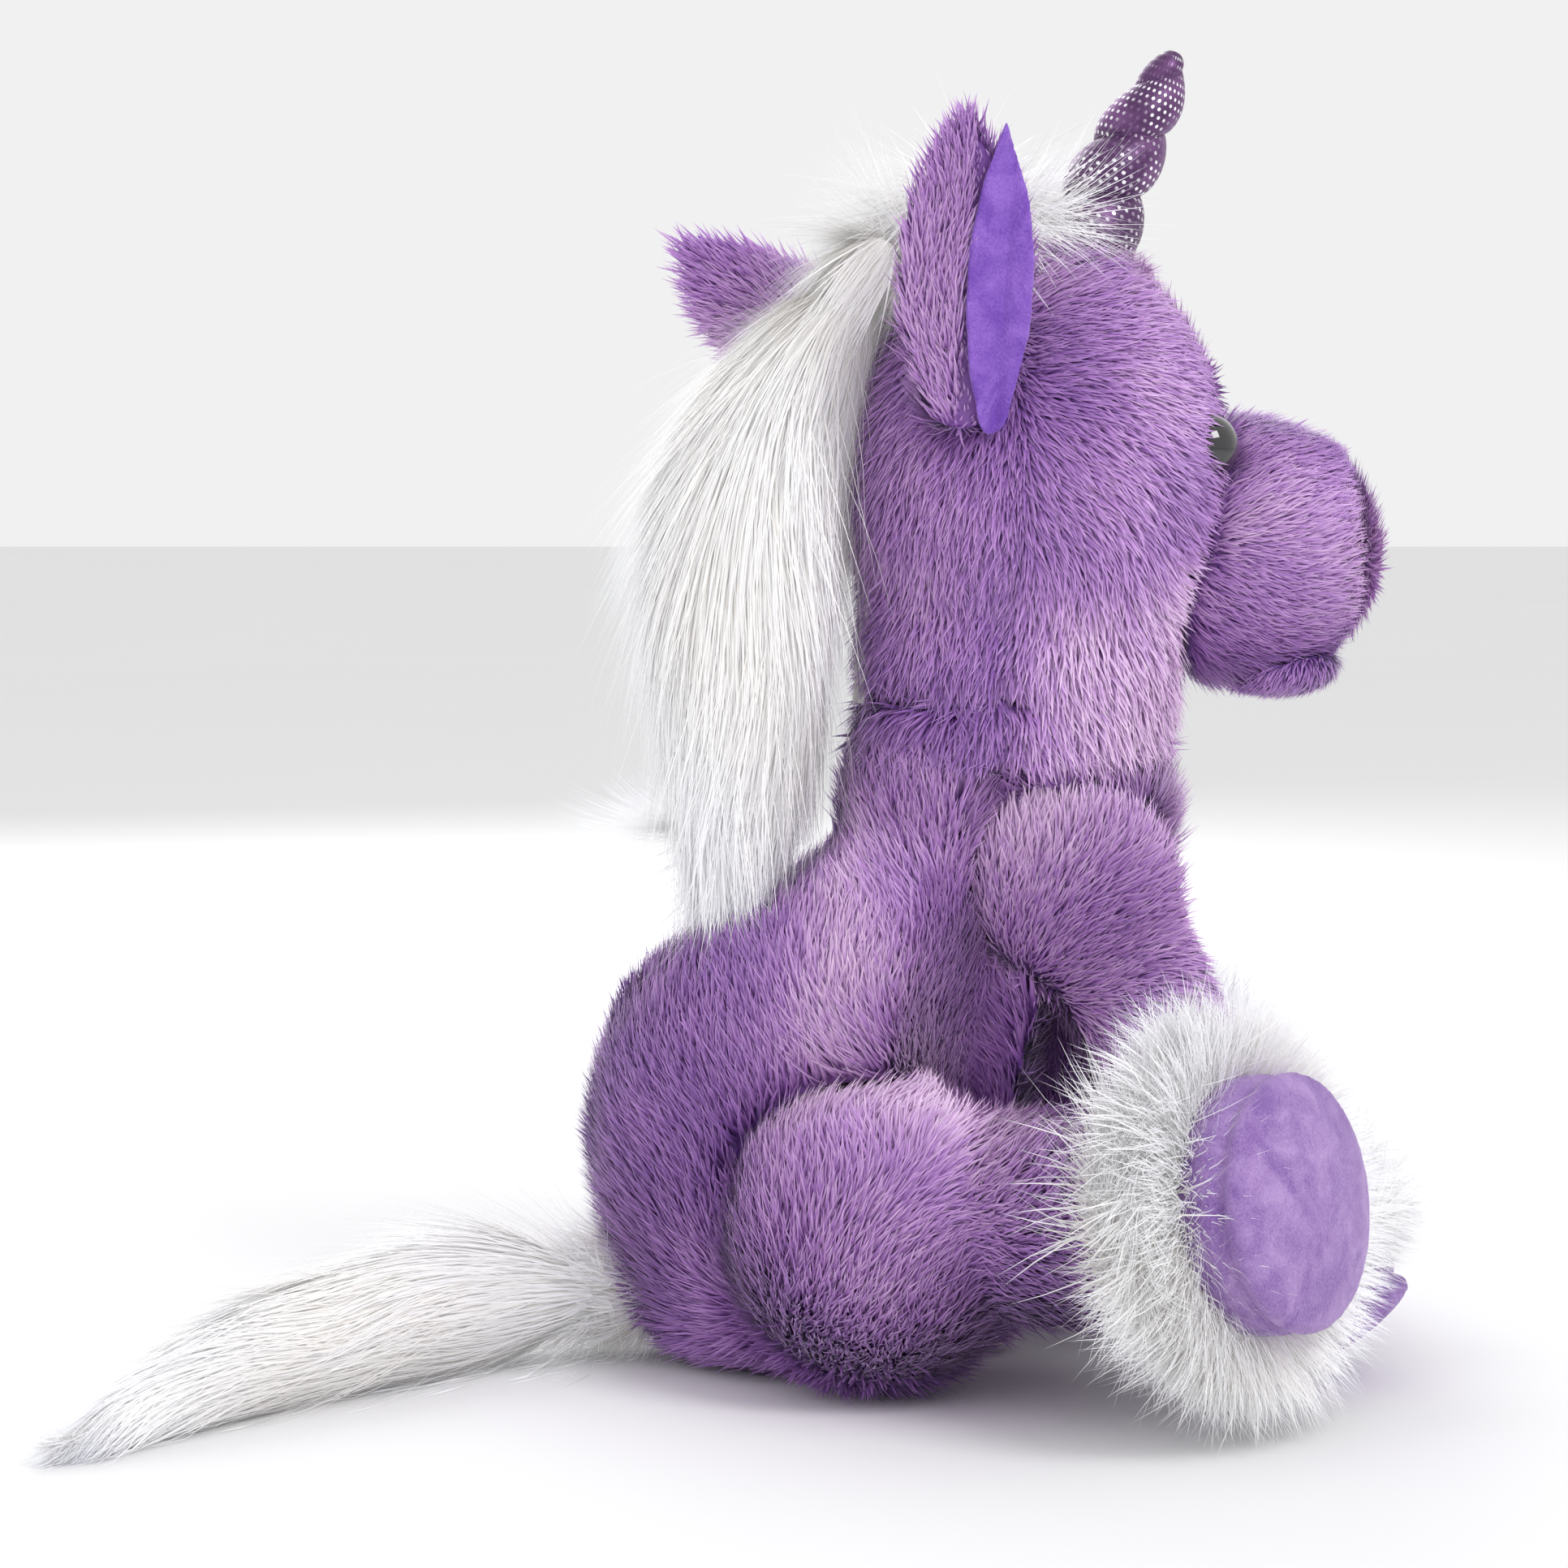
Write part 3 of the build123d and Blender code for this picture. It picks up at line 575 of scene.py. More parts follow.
# Random patches, a painted highlight on the shoulders, and painted shade low down by the table and towards
# the back.
shade = 0.46 + 0.30 * ripple(points, 0.030, 3) + 0.16 * ripple(points, 0.012, 4)
shade += 0.25 * step_up(up, 0.085, 0.11) * step_up(front, 0.035, 0.07)
shade -= 0.22 * step_up(-up, -0.03, 0.0) + 0.12 * step_up(-front, 0.01, 0.04)
under = normals[:, 2] < -0.75
groomed(
    torso, comb, pile=np.where(under, 0.35, 1.0) * (1 + 0.18 * ripple(points, 0.02, 5)),
    thick=np.where(under & (up < 0.004), 0.3, 1.0) * (1 - torso_hidden), tint=np.clip(shade, 0, 1), seed=2,
)
piled(torso, lock, plush, 2.4, 8.0 * mm, 0.85 * mm, 0.9, 0.35, 0.2, seed=2)
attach(torso, "torso")
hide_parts("torso_cover_left", "torso_cover_right", "seat_panel", "torso_filling")

# ---------------------------------------------------------------- pellet bag and neck wad
# A cloth bag of plastic pellets in the back of the torso keeps the toy upright, and a wad of white
# polyester wool fills the neck, so that the head can turn and nod. Both are hidden.
bag_cloth, bench = material("bag_cloth")
place = bench.node("ShaderNodeTexCoord", out="Object")
yarns = {"Vector": place, "Scale": 900.0, "Distortion": 0.5}
warp = bench.node("ShaderNodeTexWave", yarns, out="Fac", bands_direction="X")
weft = bench.node("ShaderNodeTexWave", yarns, out="Fac", bands_direction="Z")
weave = warp * weft
bench.finished(bench.mixed(weave, (0.66, 0.66, 0.62, 1), (0.83, 0.83, 0.80, 1)), 0.85, weave, 0.0002, 0.5)
pellet_plastic, bench = material("pellet_plastic")
place = bench.node("ShaderNodeTexCoord", out="Object")
grains = bench.node("ShaderNodeTexVoronoi", {"Vector": place, "Scale": 400.0})
bench.finished(bench.mixed(grains, (0.80, 0.80, 0.80, 1), (0.55, 0.55, 0.56, 1)), 0.4, grains, 0.0005, 0.8)
for node, finish in (("pellet_bag", bag_cloth), ("pellets", pellet_plastic), ("mane_tape", bag_cloth)):
    nodes[node].data.materials.clear()
    nodes[node].data.materials.append(finish)

wool, bench = material("wool")
place = bench.node("ShaderNodeTexCoord", out="Object")
tangle = bench.node("ShaderNodeTexNoise", {"Vector": place, "Scale": 700.0, "Detail": 4.0})
bench.finished(bench.mixed(tangle, (0.78, 0.78, 0.78, 1), (0.93, 0.93, 0.92, 1)), 0.95, tangle, 0.0006, 0.8)
neck_wad = backing("neck_wad", ["neck_filling"], 2.0 * mm, drawn_in=0.5 * mm)
neck_wad.data.materials.append(wool)
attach(neck_wad, "neck")
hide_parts("neck_filling")

# ---------------------------------------------------------------- head
# The head is four plush panels round its filling: a narrow gusset over the crown and forehead, two
# face panels and a nape panel. On the face the pile fans out from the ears, on the nape it hangs down.
head_left = -joint_axis("head_nod")
head_ahead = head_left.cross(Vector((0, 0, 1)))
if head_ahead.y > 0:
    head_ahead = -head_ahead
left_line, ahead_line = np.array(head_left), np.array(head_ahead)
neck_point = np.array(neck_place)


def in_head(points):
    """How far points on the head are ahead of the neck's line, left of it and above the table."""
    away = points - neck_point
    return away @ ahead_line, away @ left_line, points[:, 2]


head = backing(
    "head_plush",
    ["crown_gusset", "nape_panel", "face_panel_left", "face_panel_right", "head_filling"],
    2.6 * mm, drawn_in=0.8 * mm, swell=1.0 * mm,
)
head_hidden = facing(head, ["muzzle_cover", "torso_cover_left", "torso_cover_right"], 4 * mm)
points, normals = points_of(head), normals_of(head)
ahead, left, up = in_head(points)
side = np.sign(left)
seam_ahead = -0.006
face = step_up(ahead, seam_ahead - 0.002, seam_ahead + 0.004)[:, None]
crown = step_up(up, 0.204, 0.212) * step_up(-np.abs(left), -0.016, -0.012)
crown = (crown * step_up(ahead, -0.02, -0.01))[:, None]
ear_point = np.stack([ahead + 0.016, left * 0, up - 0.212], axis=1)
fan = unit(ear_point)
face_comb = fan[:, :1] * ahead_line + fan[:, 2:] * np.array([0, 0, 1.0]) + 0.25 * side[:, None] * left_line
nape_comb = np.array([0, 0, -1.0]) - 0.15 * ahead_line
crown_comb = 0.5 * ahead_line + np.array([0, 0, 0.9]) + 0.3 * side[:, None] * left_line
comb = (nape_comb * (1 - face) + face_comb * face) * (1 - crown) + crown_comb * crown
# Random patches, a painted highlight on the crown and the cheeks, and painted shade on the nape, most of all
# low down.
shade = 0.50 + 0.24 * ripple(points, 0.028, 6) + 0.15 * ripple(points, 0.011, 7)
shade += 0.25 * crown[:, 0]
shade -= (0.08 + 0.17 * step_up(-up, -0.20, -0.15)) * (1 - face[:, 0])
cheek_highlight = step_up(-np.linalg.norm(np.stack([ahead - 0.022, up - 0.150], axis=1), axis=1), -0.028, -0.012)
shade += 0.30 * cheek_highlight * face[:, 0]
seam_line = np.minimum(np.abs(ahead - seam_ahead), 0.02) / 0.0030
seam_line = np.clip(seam_line, 0, 1)
crown_line = np.clip(np.abs(np.abs(left) - 0.014) / 0.0018, 0, 1)
crown_seam = np.where((up > 0.206) & (ahead > -0.02), crown_line, 1)
along_seam = np.minimum(seam_line, crown_seam)
groomed(
    head, comb, pile=(0.4 + 0.6 * along_seam) * (1 + 0.15 * ripple(points, 0.02, 8)),
    thick=1 - head_hidden, tint=np.clip(shade, 0, 1), seed=3, swirl=0.35,
)
piled(head, lock, plush, 2.5, 7.0 * mm, 0.8 * mm, 1.0, 0.35, 0.2, seed=3)
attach(head, "head")
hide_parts("crown_gusset", "nape_panel", "face_panel_left", "face_panel_right", "head_filling")

# ---------------------------------------------------------------- muzzle and lower lip
# The muzzle is a round cover with a front panel sewn in, pushed onto the face, with its pile brushed
# forwards. The lower lip is a small pad of the same plush under it.
muzzle = backing(
    "muzzle_plush", ["muzzle_cover", "nose_panel", "muzzle_filling"], 2.0 * mm,
    drawn_in=1.2 * mm, swell=0.8 * mm,
)
low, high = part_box("muzzle_cover")
muzzle_middle = np.array((low + high) / 2)
points, normals = points_of(muzzle), normals_of(muzzle)
ahead, left, up = in_head(points)
nose_low, nose_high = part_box("nose_panel")
nose_seam = float(np.dot(np.array((nose_low + nose_high) / 2) - neck_point, ahead_line)) - 0.005
nose = step_up(ahead, nose_seam - 0.001, nose_seam + 0.002)[:, None]
radial = points - muzzle_middle
radial -= np.outer(radial @ ahead_line, ahead_line)
comb = ahead_line + 0.5 * unit(radial)
comb = comb * (1 - nose) + unit(radial + np.array([0, 0, 0.004])) * nose
seam_line = np.clip(np.abs(ahead - nose_seam) / 0.0018, 0, 1)
shade = 0.47 + 0.18 * ripple(points, 0.022, 9) + 0.14 * ripple(points, 0.009, 10) + 0.22 * nose[:, 0]
# Painted shade darkens the underside of the muzzle.
shade -= 0.2 * step_up(-up, -0.160, -0.146)
groomed(
    muzzle, comb, pile=(0.55 + 0.45 * seam_line) * (1 + 0.1 * ripple(points, 0.015, 11)),
    thick=1 - facing(muzzle, ["face_panel_left", "face_panel_right"], 4 * mm),
    tint=np.clip(shade, 0, 1), seed=4, swirl=0.35,
)
piled(muzzle, lock, plush, 2.7, 5.5 * mm, 0.7 * mm, 0.9, 0.35, 0.2, seed=4)
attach(muzzle, "head")
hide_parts("muzzle_cover", "nose_panel", "muzzle_filling")

lip = backing("lip_plush", ["lower_lip"], 1.6 * mm, drawn_in=1.2 * mm)
# The lip is painted darker than the rest of the plush, as shade under the muzzle.
shade = 0.25 + 0.1 * ripple(points_of(lip), 0.012, 12)
groomed(lip, np.array([0, 0, -0.6]) - 0.3 * ahead_line, pile=0.8, tint=shade, seed=5)
piled(lip, lock, plush, 2.8, 4.0 * mm, 0.65 * mm, 0.8, seed=5)
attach(lip, "head")
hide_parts("lower_lip")

# ---------------------------------------------------------------- eyes
# Each eye is a glossy black plastic dome on a shank, locked inside the head by a washer.
eye_gloss, bench = material("eye_gloss")
place = bench.node("ShaderNodeTexCoord", out="Object")
smear = bench.node("ShaderNodeTexNoise", {"Vector": place, "Scale": 260.0, "Detail": 2.0})
bench.finished(
    bench.mixed(smear, (0.004, 0.004, 0.006, 1), (0.010, 0.008, 0.012, 1)),
    smear * 0.05 + 0.04,
    Coat_Weight=1.0, Coat_Roughness=0.02,
)
washer_plastic, bench = material("washer_plastic")
place = bench.node("ShaderNodeTexCoord", out="Object")
speck = bench.node("ShaderNodeTexNoise", {"Vector": place, "Scale": 500.0, "Detail": 3.0})
bench.finished(bench.mixed(speck, (0.76, 0.76, 0.76, 1), (0.86, 0.86, 0.86, 1)), 0.5, speck, 0.0001, 0.3)
for side in ("left", "right"):
    for node, finish in ((f"eye_{side}", eye_gloss), (f"eye_washer_{side}", washer_plastic)):
        nodes[node].data.materials.clear()
        nodes[node].data.materials.append(finish)
        nodes[node].data.shade_smooth()

# ---------------------------------------------------------------- horn
# The horn is a stuffed cone of metallic cloth with silver dots, wound from root to tip with a thread
# that is pulled tight, so that the cloth swells between its turns.
horn_root = joint_place("horn_bend")
horn_lean = math.radians(22.4)
horn_line = Vector((0, 0, 1)) * math.cos(horn_lean) + head_ahead * math.sin(horn_lean)
horn_length = (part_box("horn_cover")[1].z - horn_root.z + 0.001) / math.cos(horn_lean)
horn_side = horn_line.cross(head_left).normalized()
horn_turns, thread_start, thread_end, groove_end = 2.75, 0.09, 0.92, 0.94
horn_rings, horn_columns = 132, 72


def horn_radius(share, turn):
    """The cloth's distance from the horn's middle line, at a share of its length and a part of a turn."""
    taper = (9.9 - 2.6 * share) * mm * math.sqrt(1 - share**3.2) + 0.2 * mm
    phase = (share - thread_start) * horn_turns / (groove_end - thread_start) - turn
    groove = abs(math.sin(math.pi * phase)) ** 0.55
    depth = 0.34 * step_up(np.array([share]), 0.0, 0.12)[0] * (1 - step_up(np.array([share]), 0.93, 1.0)[0])
    return taper * (1 + 0.12 * depth - depth * (1 - groove))


def horn_point(share, turn, radius):
    angle = 2 * math.pi * turn
    sway = 1.2 * mm * math.sin(share * 5.0)
    middle = horn_root + horn_line * (horn_length * share) + horn_side * sway
    return middle + (head_left * math.cos(angle) + horn_side * math.sin(angle)) * radius


horn = bmesh.new()
weave_map = horn.loops.layers.uv.new("weave")
rings = []
for k in range(horn_rings):
    share = k / horn_rings
    turns = [c / horn_columns for c in range(horn_columns)]
    rings.append([horn.verts.new(horn_point(share, turn, horn_radius(share, turn))) for turn in turns])
horn_tip = horn.verts.new(horn_point(1.0, 0, 0))
horn_foot = horn.verts.new(horn_root - horn_line * 2 * mm)
turn_length = 2 * math.pi * 9 * mm
for k in range(horn_rings):
    for c in range(horn_columns):
        d = (c + 1) % horn_columns
        u0, u1 = c / horn_columns * turn_length, (c + 1) / horn_columns * turn_length
        v0, v1 = k / horn_rings * horn_length, (k + 1) / horn_rings * horn_length
        if k < horn_rings - 1:
            corners = [rings[k][c], rings[k][d], rings[k + 1][d], rings[k + 1][c]]
            marks = [(u0, v0), (u1, v0), (u1, v1), (u0, v1)]
        else:
            corners = [rings[k][c], rings[k][d], horn_tip]
            marks = [(u0, v0), (u1, v0), (u0, v1)]
        for corner, mark in zip(horn.faces.new(corners).loops, marks):
            corner[weave_map].uv = mark
for c in range(horn_columns):
    horn.faces.new([rings[0][(c + 1) % horn_columns], rings[0][c], horn_foot])
bmesh.ops.recalc_face_normals(horn, faces=horn.faces)
horn_mesh = bpy.data.meshes.new("horn_cloth")
horn.to_mesh(horn_mesh)
horn.free()
horn_mesh.shade_smooth()

metallic, bench = material("dotted_metallic_cloth")
spot = bench.node("ShaderNodeUVMap", uv_map="weave")
place = bench.node("ShaderNodeTexCoord", out="Object")
dot_step, dot_size = 1.9 * mm, 0.27
rows = (1 / dot_step, 1 / (dot_step * 0.9), 0)
grid = bench.node("ShaderNodeVectorMath", {0: spot, 1: rows}, operation="MULTIPLY")
split = bench.node("ShaderNodeSeparateXYZ", {0: grid})
across, along = split, Value(bench, split.socket.node.outputs["Y"])
row = bench.node("ShaderNodeMath", {0: along}, operation="FLOOR")
across = across + row * 0.5
cell_u = bench.node("ShaderNodeMath", {0: across}, operation="FRACT") - 0.5
cell_v = bench.node("ShaderNodeMath", {0: along}, operation="FRACT") - 0.5
away = bench.node("ShaderNodeMath", {0: cell_u * cell_u + cell_v * cell_v}, operation="SQRT")
dot = bench.node("ShaderNodeMapRange", {0: away, 1: dot_size - 0.09, 2: dot_size, 3: 1.0, 4: 0.0})
# The silver dots are painted bright in some places and dark in others by a noise: painted glints where they
# catch the light.
glints = bench.node("ShaderNodeTexNoise", {"Vector": place, "Scale": 170.0, "Detail": 1.0})
lit = bench.node("ShaderNodeMapRange", {0: glints, 1: 0.42, 2: 0.60})
threads = bench.node("ShaderNodeTexNoise", {"Vector": place, "Scale": 1500.0, "Detail": 2.0})
# A coarse noise paints paler patches on the cloth: painted sheen over the dyed threads.
sheen = bench.node("ShaderNodeTexNoise", {"Vector": place, "Scale": 90.0, "Detail": 2.0})
cloth_dye_and_sheen = bench.mixed(threads, (0.035, 0.010, 0.050, 1), (0.13, 0.045, 0.16, 1))
shine = bench.node("ShaderNodeMapRange", {0: sheen, 1: 0.45, 2: 0.7})
cloth_dye_and_sheen = bench.mixed(shine, cloth_dye_and_sheen, (0.21, 0.085, 0.25, 1))
silver_and_painted_glints = bench.mixed(lit, (0.17, 0.08, 0.20, 1), (0.95, 0.93, 0.97, 1))
bench.finished(bench.mixed(dot, cloth_dye_and_sheen, silver_and_painted_glints), dot * -0.15 + 0.42, threads, 0.0002, 0.4, Metallic=0.35)
horn_piece = new_piece("horn_cloth", horn_mesh, metallic)
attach(horn_piece, "horn")
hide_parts("horn_cover", "horn_filling")

thread_radius = 0.3 * mm
thread_steps, thread_sides = 300, 6
winding = bmesh.new()
rings = []
for k in range(thread_steps + 1):
    share = thread_start + (thread_end - thread_start) * k / thread_steps
    turn = (share - thread_start) * horn_turns / (groove_end - thread_start)
    middle = horn_point(share, turn, horn_radius(share, turn) + 0.1 * mm)
    out = (head_left * math.cos(2 * math.pi * turn) + horn_side * math.sin(2 * math.pi * turn)).normalized()
    rings.append([
        winding.verts.new(middle + (out * math.cos(a) + horn_line * math.sin(a)) * thread_radius)
        for a in (2 * math.pi * s / thread_sides for s in range(thread_sides))
    ])
for first, second in zip(rings, rings[1:]):
    for s in range(thread_sides):
        t = (s + 1) % thread_sides
        winding.faces.new([first[s], first[t], second[t], second[s]])
winding.faces.new(rings[0][::-1])
winding.faces.new(rings[-1])
bmesh.ops.recalc_face_normals(winding, faces=winding.faces)
thread_mesh = bpy.data.meshes.new("horn_thread_winding")
winding.to_mesh(thread_mesh)
winding.free()
thread_mesh.shade_smooth()
thread_finish, bench = material("thread_finish")
place = bench.node("ShaderNodeTexCoord", out="Object")
twist = bench.node("ShaderNodeTexWave", {"Vector": place, "Scale": 1600.0, "Distortion": 1.0}, out="Fac")
bench.finished(bench.mixed(twist, (0.05, 0.015, 0.07, 1), (0.13, 0.05, 0.17, 1)), 0.6, twist, 0.0001, 0.5)
thread_piece = new_piece("horn_winding", thread_mesh, thread_finish)
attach(thread_piece, "horn")
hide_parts("horn_thread")

# ---------------------------------------------------------------- ears
# Each ear is a plush back sewn to a lining of short velvety cloth and turned. The left ear lies back.
def velvet_finish(name, dark, light):
    """Short, dense nap, painted paler in patches where it is stroked one way and catches the light: painted
    sheen.
    """
    finish, paint = material(name)
    place = paint.node("ShaderNodeTexCoord", out="Object")
    nap_sheen = paint.node(
        "ShaderNodeTexNoise", {"Vector": place, "Scale": 110.0, "Detail": 3.0, "Distortion": 1.2}
    )
    nap = paint.node("ShaderNodeTexNoise", {"Vector": place, "Scale": 1900.0, "Detail": 3.0})
    nap_sheen = paint.node("ShaderNodeMapRange", {0: nap_sheen + (nap - 0.5) * 0.55, 1: 0.3, 2: 0.72})
    paint.finished(
        paint.mixed(nap_sheen, dark, light), 0.8, nap, 0.0006, 0.7,
        Sheen_Weight=0.5, Sheen_Roughness=0.35, Sheen_Tint=(0.85, 0.7, 1.0, 1),
    )
    return finish


lining_velvet = velvet_finish("lining_velvet", (0.16, 0.055, 0.42, 1), (0.30, 0.14, 0.60, 1))
for side in ("left", "right"):
    back = backing(f"ear_{side}_plush", [f"ear_back_{side}"], 1.2 * mm, drawn_in=0.4 * mm)
    points, normals = points_of(back), normals_of(back)
    root = np.array(joint_place(f"ear_{side}_flop"))
    low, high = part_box(f"ear_back_{side}")
    tip = np.array((low + high) / 2) - root
    tip = tip / np.linalg.norm(tip)
    lining_low, lining_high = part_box(f"ear_lining_{side}")
    lining_middle = np.array((lining_low + lining_high) / 2)
    flat = np.array(joint_axis(f"ear_{side}_flop"))
    flat *= np.sign(np.dot(lining_middle - np.array((low + high) / 2), flat))
    wide = unit(np.cross(flat, tip))
    wide *= np.sign(wide @ ahead_line)
    fold = -1.0 * mm  # the plush is folded round the rear edge up to here
    inside = step_up(normals @ flat, 0.15, 0.5) * step_up((points - root) @ wide, fold - 0.001, fold + 0.001)
    edge = points - root - np.outer((points - root) @ tip, tip)
    comb = tip * 1.0 + unit(edge) * 0.35
    # The pile is painted darker near the ear's root, as shade where the ear meets the head.
    shade = 0.55 + 0.2 * ripple(points, 0.02, 13) - 0.15 * step_up(-((points - root) @ tip), -0.02, 0.0)
    groomed(
        back, comb, pile=1 - 0.75 * inside, thick=1 - 0.8 * inside,
        tint=np.clip(shade, 0, 1), seed=6, swirl=0.25,
    )
    piled(back, lock, plush, 2.8, (8.0 if side == "left" else 6.5) * mm, 0.75 * mm, 1.0, 0.35, seed=6)
    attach(back, f"ear_{side}")
    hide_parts(f"ear_back_{side}")

    lining = backing(f"ear_{side}_lining", [f"ear_lining_{side}"], 0.7 * mm, smoothing=3)
    points = points_of(lining)
    across = (points - root) @ wide
    half = np.abs(across).max()
    kept = fold + (across + half) / (2 * half) * (half - fold)
    crease = np.exp(-(((kept - (half + fold) * 0.55) / 0.0014) ** 2)) * 1.2 * mm
    roll = 0.9 * mm * (1 - np.exp(-(((kept - (half + fold) * 0.55) / 0.004) ** 2)))
    points = points + np.outer(kept - across, wide) + np.outer(roll - crease + 0.5 * mm, flat)
    ripples = ripple(points, 0.007, 14) * 0.3 * mm
    set_points(lining, points + normals_of(lining) * ripples[:, None])
    lining.data.materials.append(lining_velvet)
    lining.data.shade_smooth()
    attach(lining, f"ear_{side}")
    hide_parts(f"ear_lining_{side}")

# ---------------------------------------------------------------- mane, forelock and tail
# The long hair is straight white polyester, cream in its depth and bluish at the ends. The mane hangs
# down the back of the neck from a tape, the forelock springs from the crown, the tail is a sewn tuft.
hair = pile_finish(
    "white_hair",
    [(0.92, 0.88, 0.80), (0.94, 0.91, 0.86), (0.94, 0.93, 0.91), (0.92, 0.93, 0.97)],
    [(0.94, 0.92, 0.88), (0.95, 0.94, 0.92), (0.95, 0.95, 0.96), (0.92, 0.93, 0.99)],
    [(0.95, 0.95, 0.95), (0.96, 0.96, 0.96), (0.96, 0.96, 0.99), (0.91, 0.92, 1.0)],
    0.5,
    Specular_IOR_Level=0.3,
    Sheen_Weight=0.3,
    # The faint emission is a painted glow, standing in for light shining through the hair.
    Emission_Color=(0.95, 0.95, 1.0, 1),
    Emission_Strength=0.04,
)
short_strand = lock_mesh("short_strand", 3, 0.4, 1.3)


def haired(name, part, body, comb, length, width, per_mm2, lean, disorder, seed,
           pile=1.0, tint=0.5, drawn_in=2.0, voxel=2.0, shape=strand):
    """A tuft of long hair over a CAD part, with a few stray hairs standing away from it."""
    skin = backing(name, [part], voxel * mm, drawn_in=drawn_in * mm)
    points = points_of(skin)
    comb = comb(points, normals_of(skin)) if callable(comb) else comb
    pile = pile(points) if callable(pile) else pile
    tint = tint(points) if callable(tint) else tint
    groomed(skin, comb, pile=pile, tint=tint, seed=seed, swirl=0.18)
    stray = skin.copy()
    stray.data = skin.data.copy()
    bpy.context.scene.collection.objects.link(stray)
    piled(skin, shape, hair, per_mm2, length, width, lean, disorder, 0.2, seed)
    stray.name = name + "_wisps"
    piled(
        stray, shape, hair, per_mm2 * 0.05, length * 1.1, width * 0.5,
        lean * 0.5, disorder * 2.5, 0.2, seed + 50,
    )
    both = bmesh.new()
    both.from_mesh(skin.data)
    count = len(points)
    loose = bmesh.new()
    loose.from_mesh(stray.data)
    loose.verts.ensure_lookup_table()
    bmesh.ops.delete(loose, geom=loose.verts[:count], context="VERTS")
    loose.to_mesh(stray.data)
    loose.free()
    both.from_mesh(stray.data)
    both.to_mesh(skin.data)
    both.free()
    bpy.data.objects.remove(stray)
    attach(skin, body)
    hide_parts(part)
    return skin


def mane_comb(points, normals):
    """Over the poll and back at the top, then straight down."""
    top = step_up(points[:, 2], 0.205, 0.235)[:, None]
    hanging = np.array([0, 0, -1.0]) + 0.04 * -ahead_line
    over_poll = np.array([0, 0, -0.75]) - ahead_line * 0.7
    return hanging * (1 - top) + over_poll * top


haired(
    "mane_hair", "mane", "mane", mane_comb, 38 * mm, 0.5 * mm, 2.6, 4.0, 0.09, 21,
    pile=lambda p: 1 - 0.45 * step_up(p[:, 2], 0.2, 0.235),
    tint=lambda p: np.clip(0.5 + 0.3 * ripple(p, 0.03, 15), 0, 1), drawn_in=1.5,
)


def forelock_comb(points, normals):
    """Outwards from the crown to every side."""
    away = points - np.array((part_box("forelock")[0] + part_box("forelock")[1]) / 2)
    away[:, 2] *= 0.3
    return unit(away) + ahead_line * 0.25


haired(
    "forelock_hair", "forelock", "head", forelock_comb, 28 * mm, 0.45 * mm, 2.4, 1.2, 0.3, 22, tint=0.6
)

tail_root_line = np.array(joint_place("tail_swing"))
tail_points = np.array([tuple(v.co) for v in nodes["tail_hair"].data.vertices])
tail_away = np.linalg.norm(tail_points - tail_root_line, axis=1)
tail_marks = np.linspace(tail_away.min(), tail_away.max(), 9)
tail_middles = np.array([
    tail_points[np.abs(tail_away - mark) < 0.012].mean(axis=0) for mark in tail_marks
])


def tail_comb(points, normals):
    """Along the tail's own bend, from its root to its tip."""
    near = np.linalg.norm(points[:, None] - tail_middles[None], axis=2).argmin(axis=1)
    near = np.clip(near, 0, len(tail_middles) - 2)
    return unit(tail_middles[near + 1] - tail_middles[near])


def tail_pile(points):
    away = np.linalg.norm(points - tail_root_line, axis=1)
    return 1.0 - 0.6 * step_up(away, 0.09, 0.15)


haired(
    "tail_hair_tuft", "tail_hair", "tail", tail_comb, 34 * mm, 0.5 * mm, 2.6, 7.0, 0.07, 23,
    pile=tail_pile, tint=lambda p: np.clip(0.4 + 0.3 * ripple(p, 0.03, 16), 0, 1), drawn_in=1.6,
)
haired(
    "tail_base_hair", "tail_root", "tail_root",
    lambda p, n: p - tail_root_line + (tail_middles[1] - tail_root_line),
    14 * mm, 0.5 * mm, 2.4, 1.0, 0.3, 24, tint=0.45, drawn_in=0.5,
)

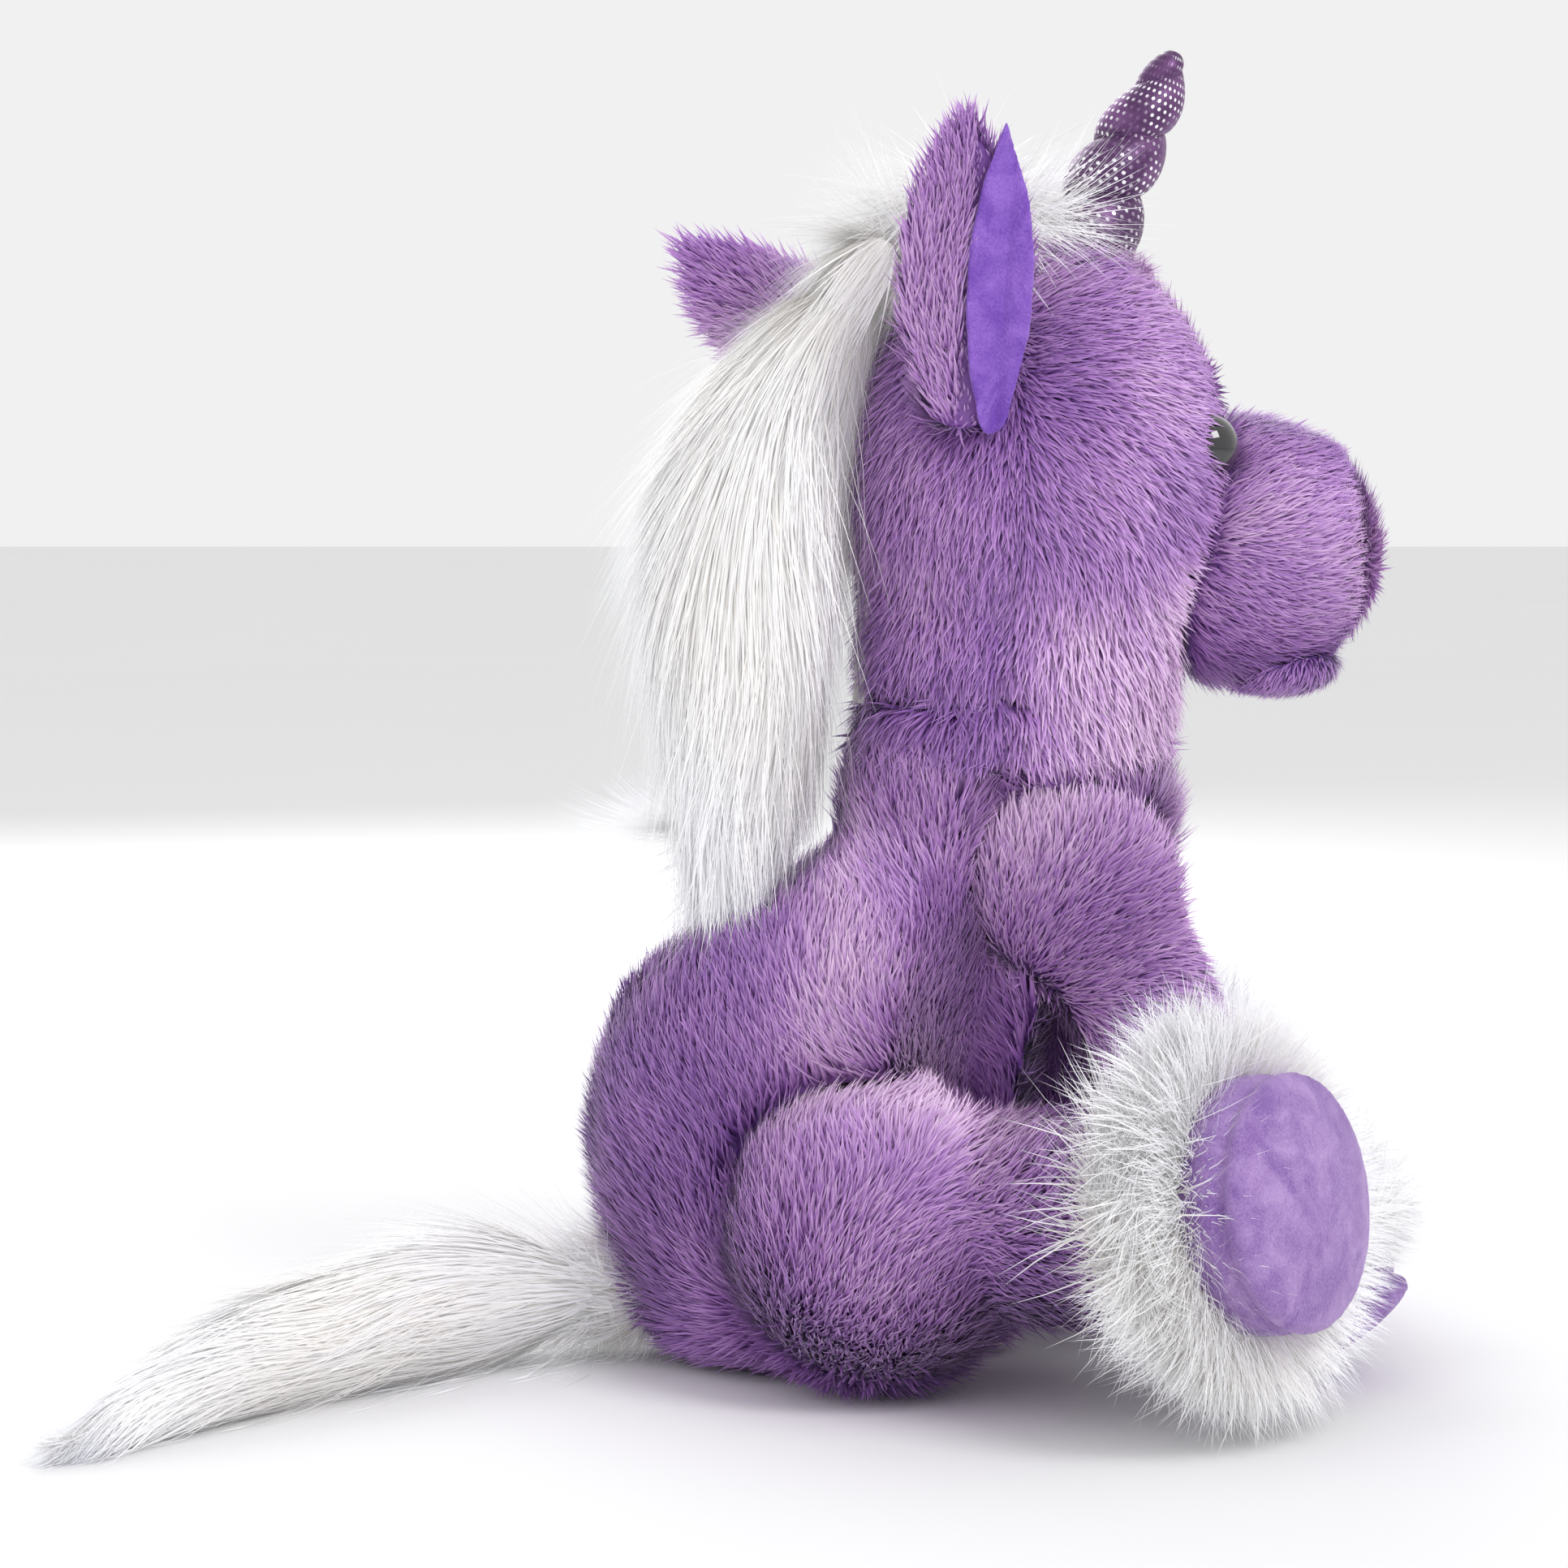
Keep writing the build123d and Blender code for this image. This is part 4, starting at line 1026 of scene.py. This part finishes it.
# ---------------------------------------------------------------- legs
# Each leg is a tapered plush tube with a rounded root, a cuff of white hair round its ankle, and a
# hoof of velvety cloth: a wall round the side and a domed sole, sewn together with a sunk seam.
hoof_velvet = velvet_finish("hoof_velvet", (0.22, 0.11, 0.37, 1), (0.42, 0.27, 0.56, 1))
leg_names = ("front_leg_left", "front_leg_right", "hind_leg_left", "hind_leg_right")
for number, leg in enumerate(leg_names):
    hind = leg.startswith("hind")
    root = np.array(joint_place(f"{leg}_raise"))
    low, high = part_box(f"{leg}_hoof_filling")
    line = np.array((low + high) / 2) - root
    reach = np.linalg.norm(line)
    line = line / reach

    limb = backing(
        f"{leg}_plush", [f"{leg}_cover", f"{leg}_filling"], 2.4 * mm, drawn_in=0.6 * mm, swell=0.8 * mm
    )
    limb_hidden = facing(limb, ["torso_cover_left", "torso_cover_right", f"{leg}_cuff"], 4 * mm)
    # a front leg's rounded root is pressed flatter, level with the shoulder's side
    swing = np.array(joint_axis(f"{leg}_raise"))
    swing *= np.sign(swing[0]) * (1 if leg.endswith("left") else -1)
    points = points_of(limb)
    out = (points - root) @ swing
    pressed = (0.0 if hind else 0.7) * (1 - step_up((points - root) @ line, 0.012, 0.055))
    set_points(limb, points - np.outer(np.maximum(out - 0.004, 0) * pressed, swing))
    points, normals = points_of(limb), normals_of(limb)
    along = (points - root) @ line
    upward = np.array([0, 0, 1.0])
    haunch = step_up(-along, -0.045, -0.01)[:, None]
    radial = points - root
    comb = line * (1 - haunch) + (unit(radial) * 0.5 + upward * 0.8 + np.array([0, -0.35, 0])) * haunch
    shade = 0.5 + 0.28 * ripple(points, 0.028, 30 + number) + 0.15 * ripple(points, 0.012, 40 + number)
    # A painted highlight on the top of each hind haunch, and painted shade low down by the table.
    shade += 0.3 * step_up(points[:, 2], 0.048, 0.062) * haunch[:, 0] * hind
    shade -= 0.2 * step_up(-points[:, 2], -0.02, 0.0)
    under = normals[:, 2] < -0.8
    groomed(
        limb, comb, pile=np.where(under & (points[:, 2] < 0.004), 0.3, 1.0) * (1 - 0.6 * limb_hidden)
        * (1 + 0.15 * ripple(points, 0.02, 50 + number)), thick=1 - 0.5 * limb_hidden,
        tint=np.clip(shade, 0, 1), seed=60 + number,
    )
    piled(limb, lock, plush, 2.4, (8.0 if hind else 7.0) * mm, 0.85 * mm, 0.9, 0.35, 0.2, seed=60 + number)
    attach(limb, leg)
    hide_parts(f"{leg}_cover", f"{leg}_filling")

    def cuff_comb(points, normals):
        """Out from the ankle and a little towards the hoof."""
        away = points - root
        away = away - np.outer(away @ line, line)
        return unit(away) - line * 0.12 + normals * 0.15

    haired(
        f"{leg}_cuff_hair", f"{leg}_cuff", leg, cuff_comb, (18 if hind else 15) * mm, 0.5 * mm,
        2.8, 0.9, 0.4,
        70 + number, tint=lambda p: np.clip(0.5 + 0.3 * ripple(p, 0.02, 17), 0, 1), drawn_in=1.5,
        shape=short_strand,
    )

    hoof_parts = [f"{leg}_hoof_wall", f"{leg}_hoof_filling", f"{leg}_sole"]
    hoof = backing(f"{leg}_hoof", hoof_parts, 1.3 * mm, smoothing=6)
    points = points_of(hoof)
    rim = points[np.linalg.norm(points - root - np.outer((points - root) @ line, line), axis=1).argmax()]
    seam = np.dot(rim - root, line) + (0.0055 if hind else 0.0015)
    away = (points - root) @ line
    pinch = np.exp(-(((away - seam) / 0.0014) ** 2)) * 1.8 * mm
    set_points(hoof, points - normals_of(hoof) * pinch[:, None])
    hoof.data.materials.append(hoof_velvet)
    hoof.data.shade_smooth()
    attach(hoof, leg)
    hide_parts(*hoof_parts)

for spare in (lock, strand, short_strand):
    bpy.data.objects.remove(spare)
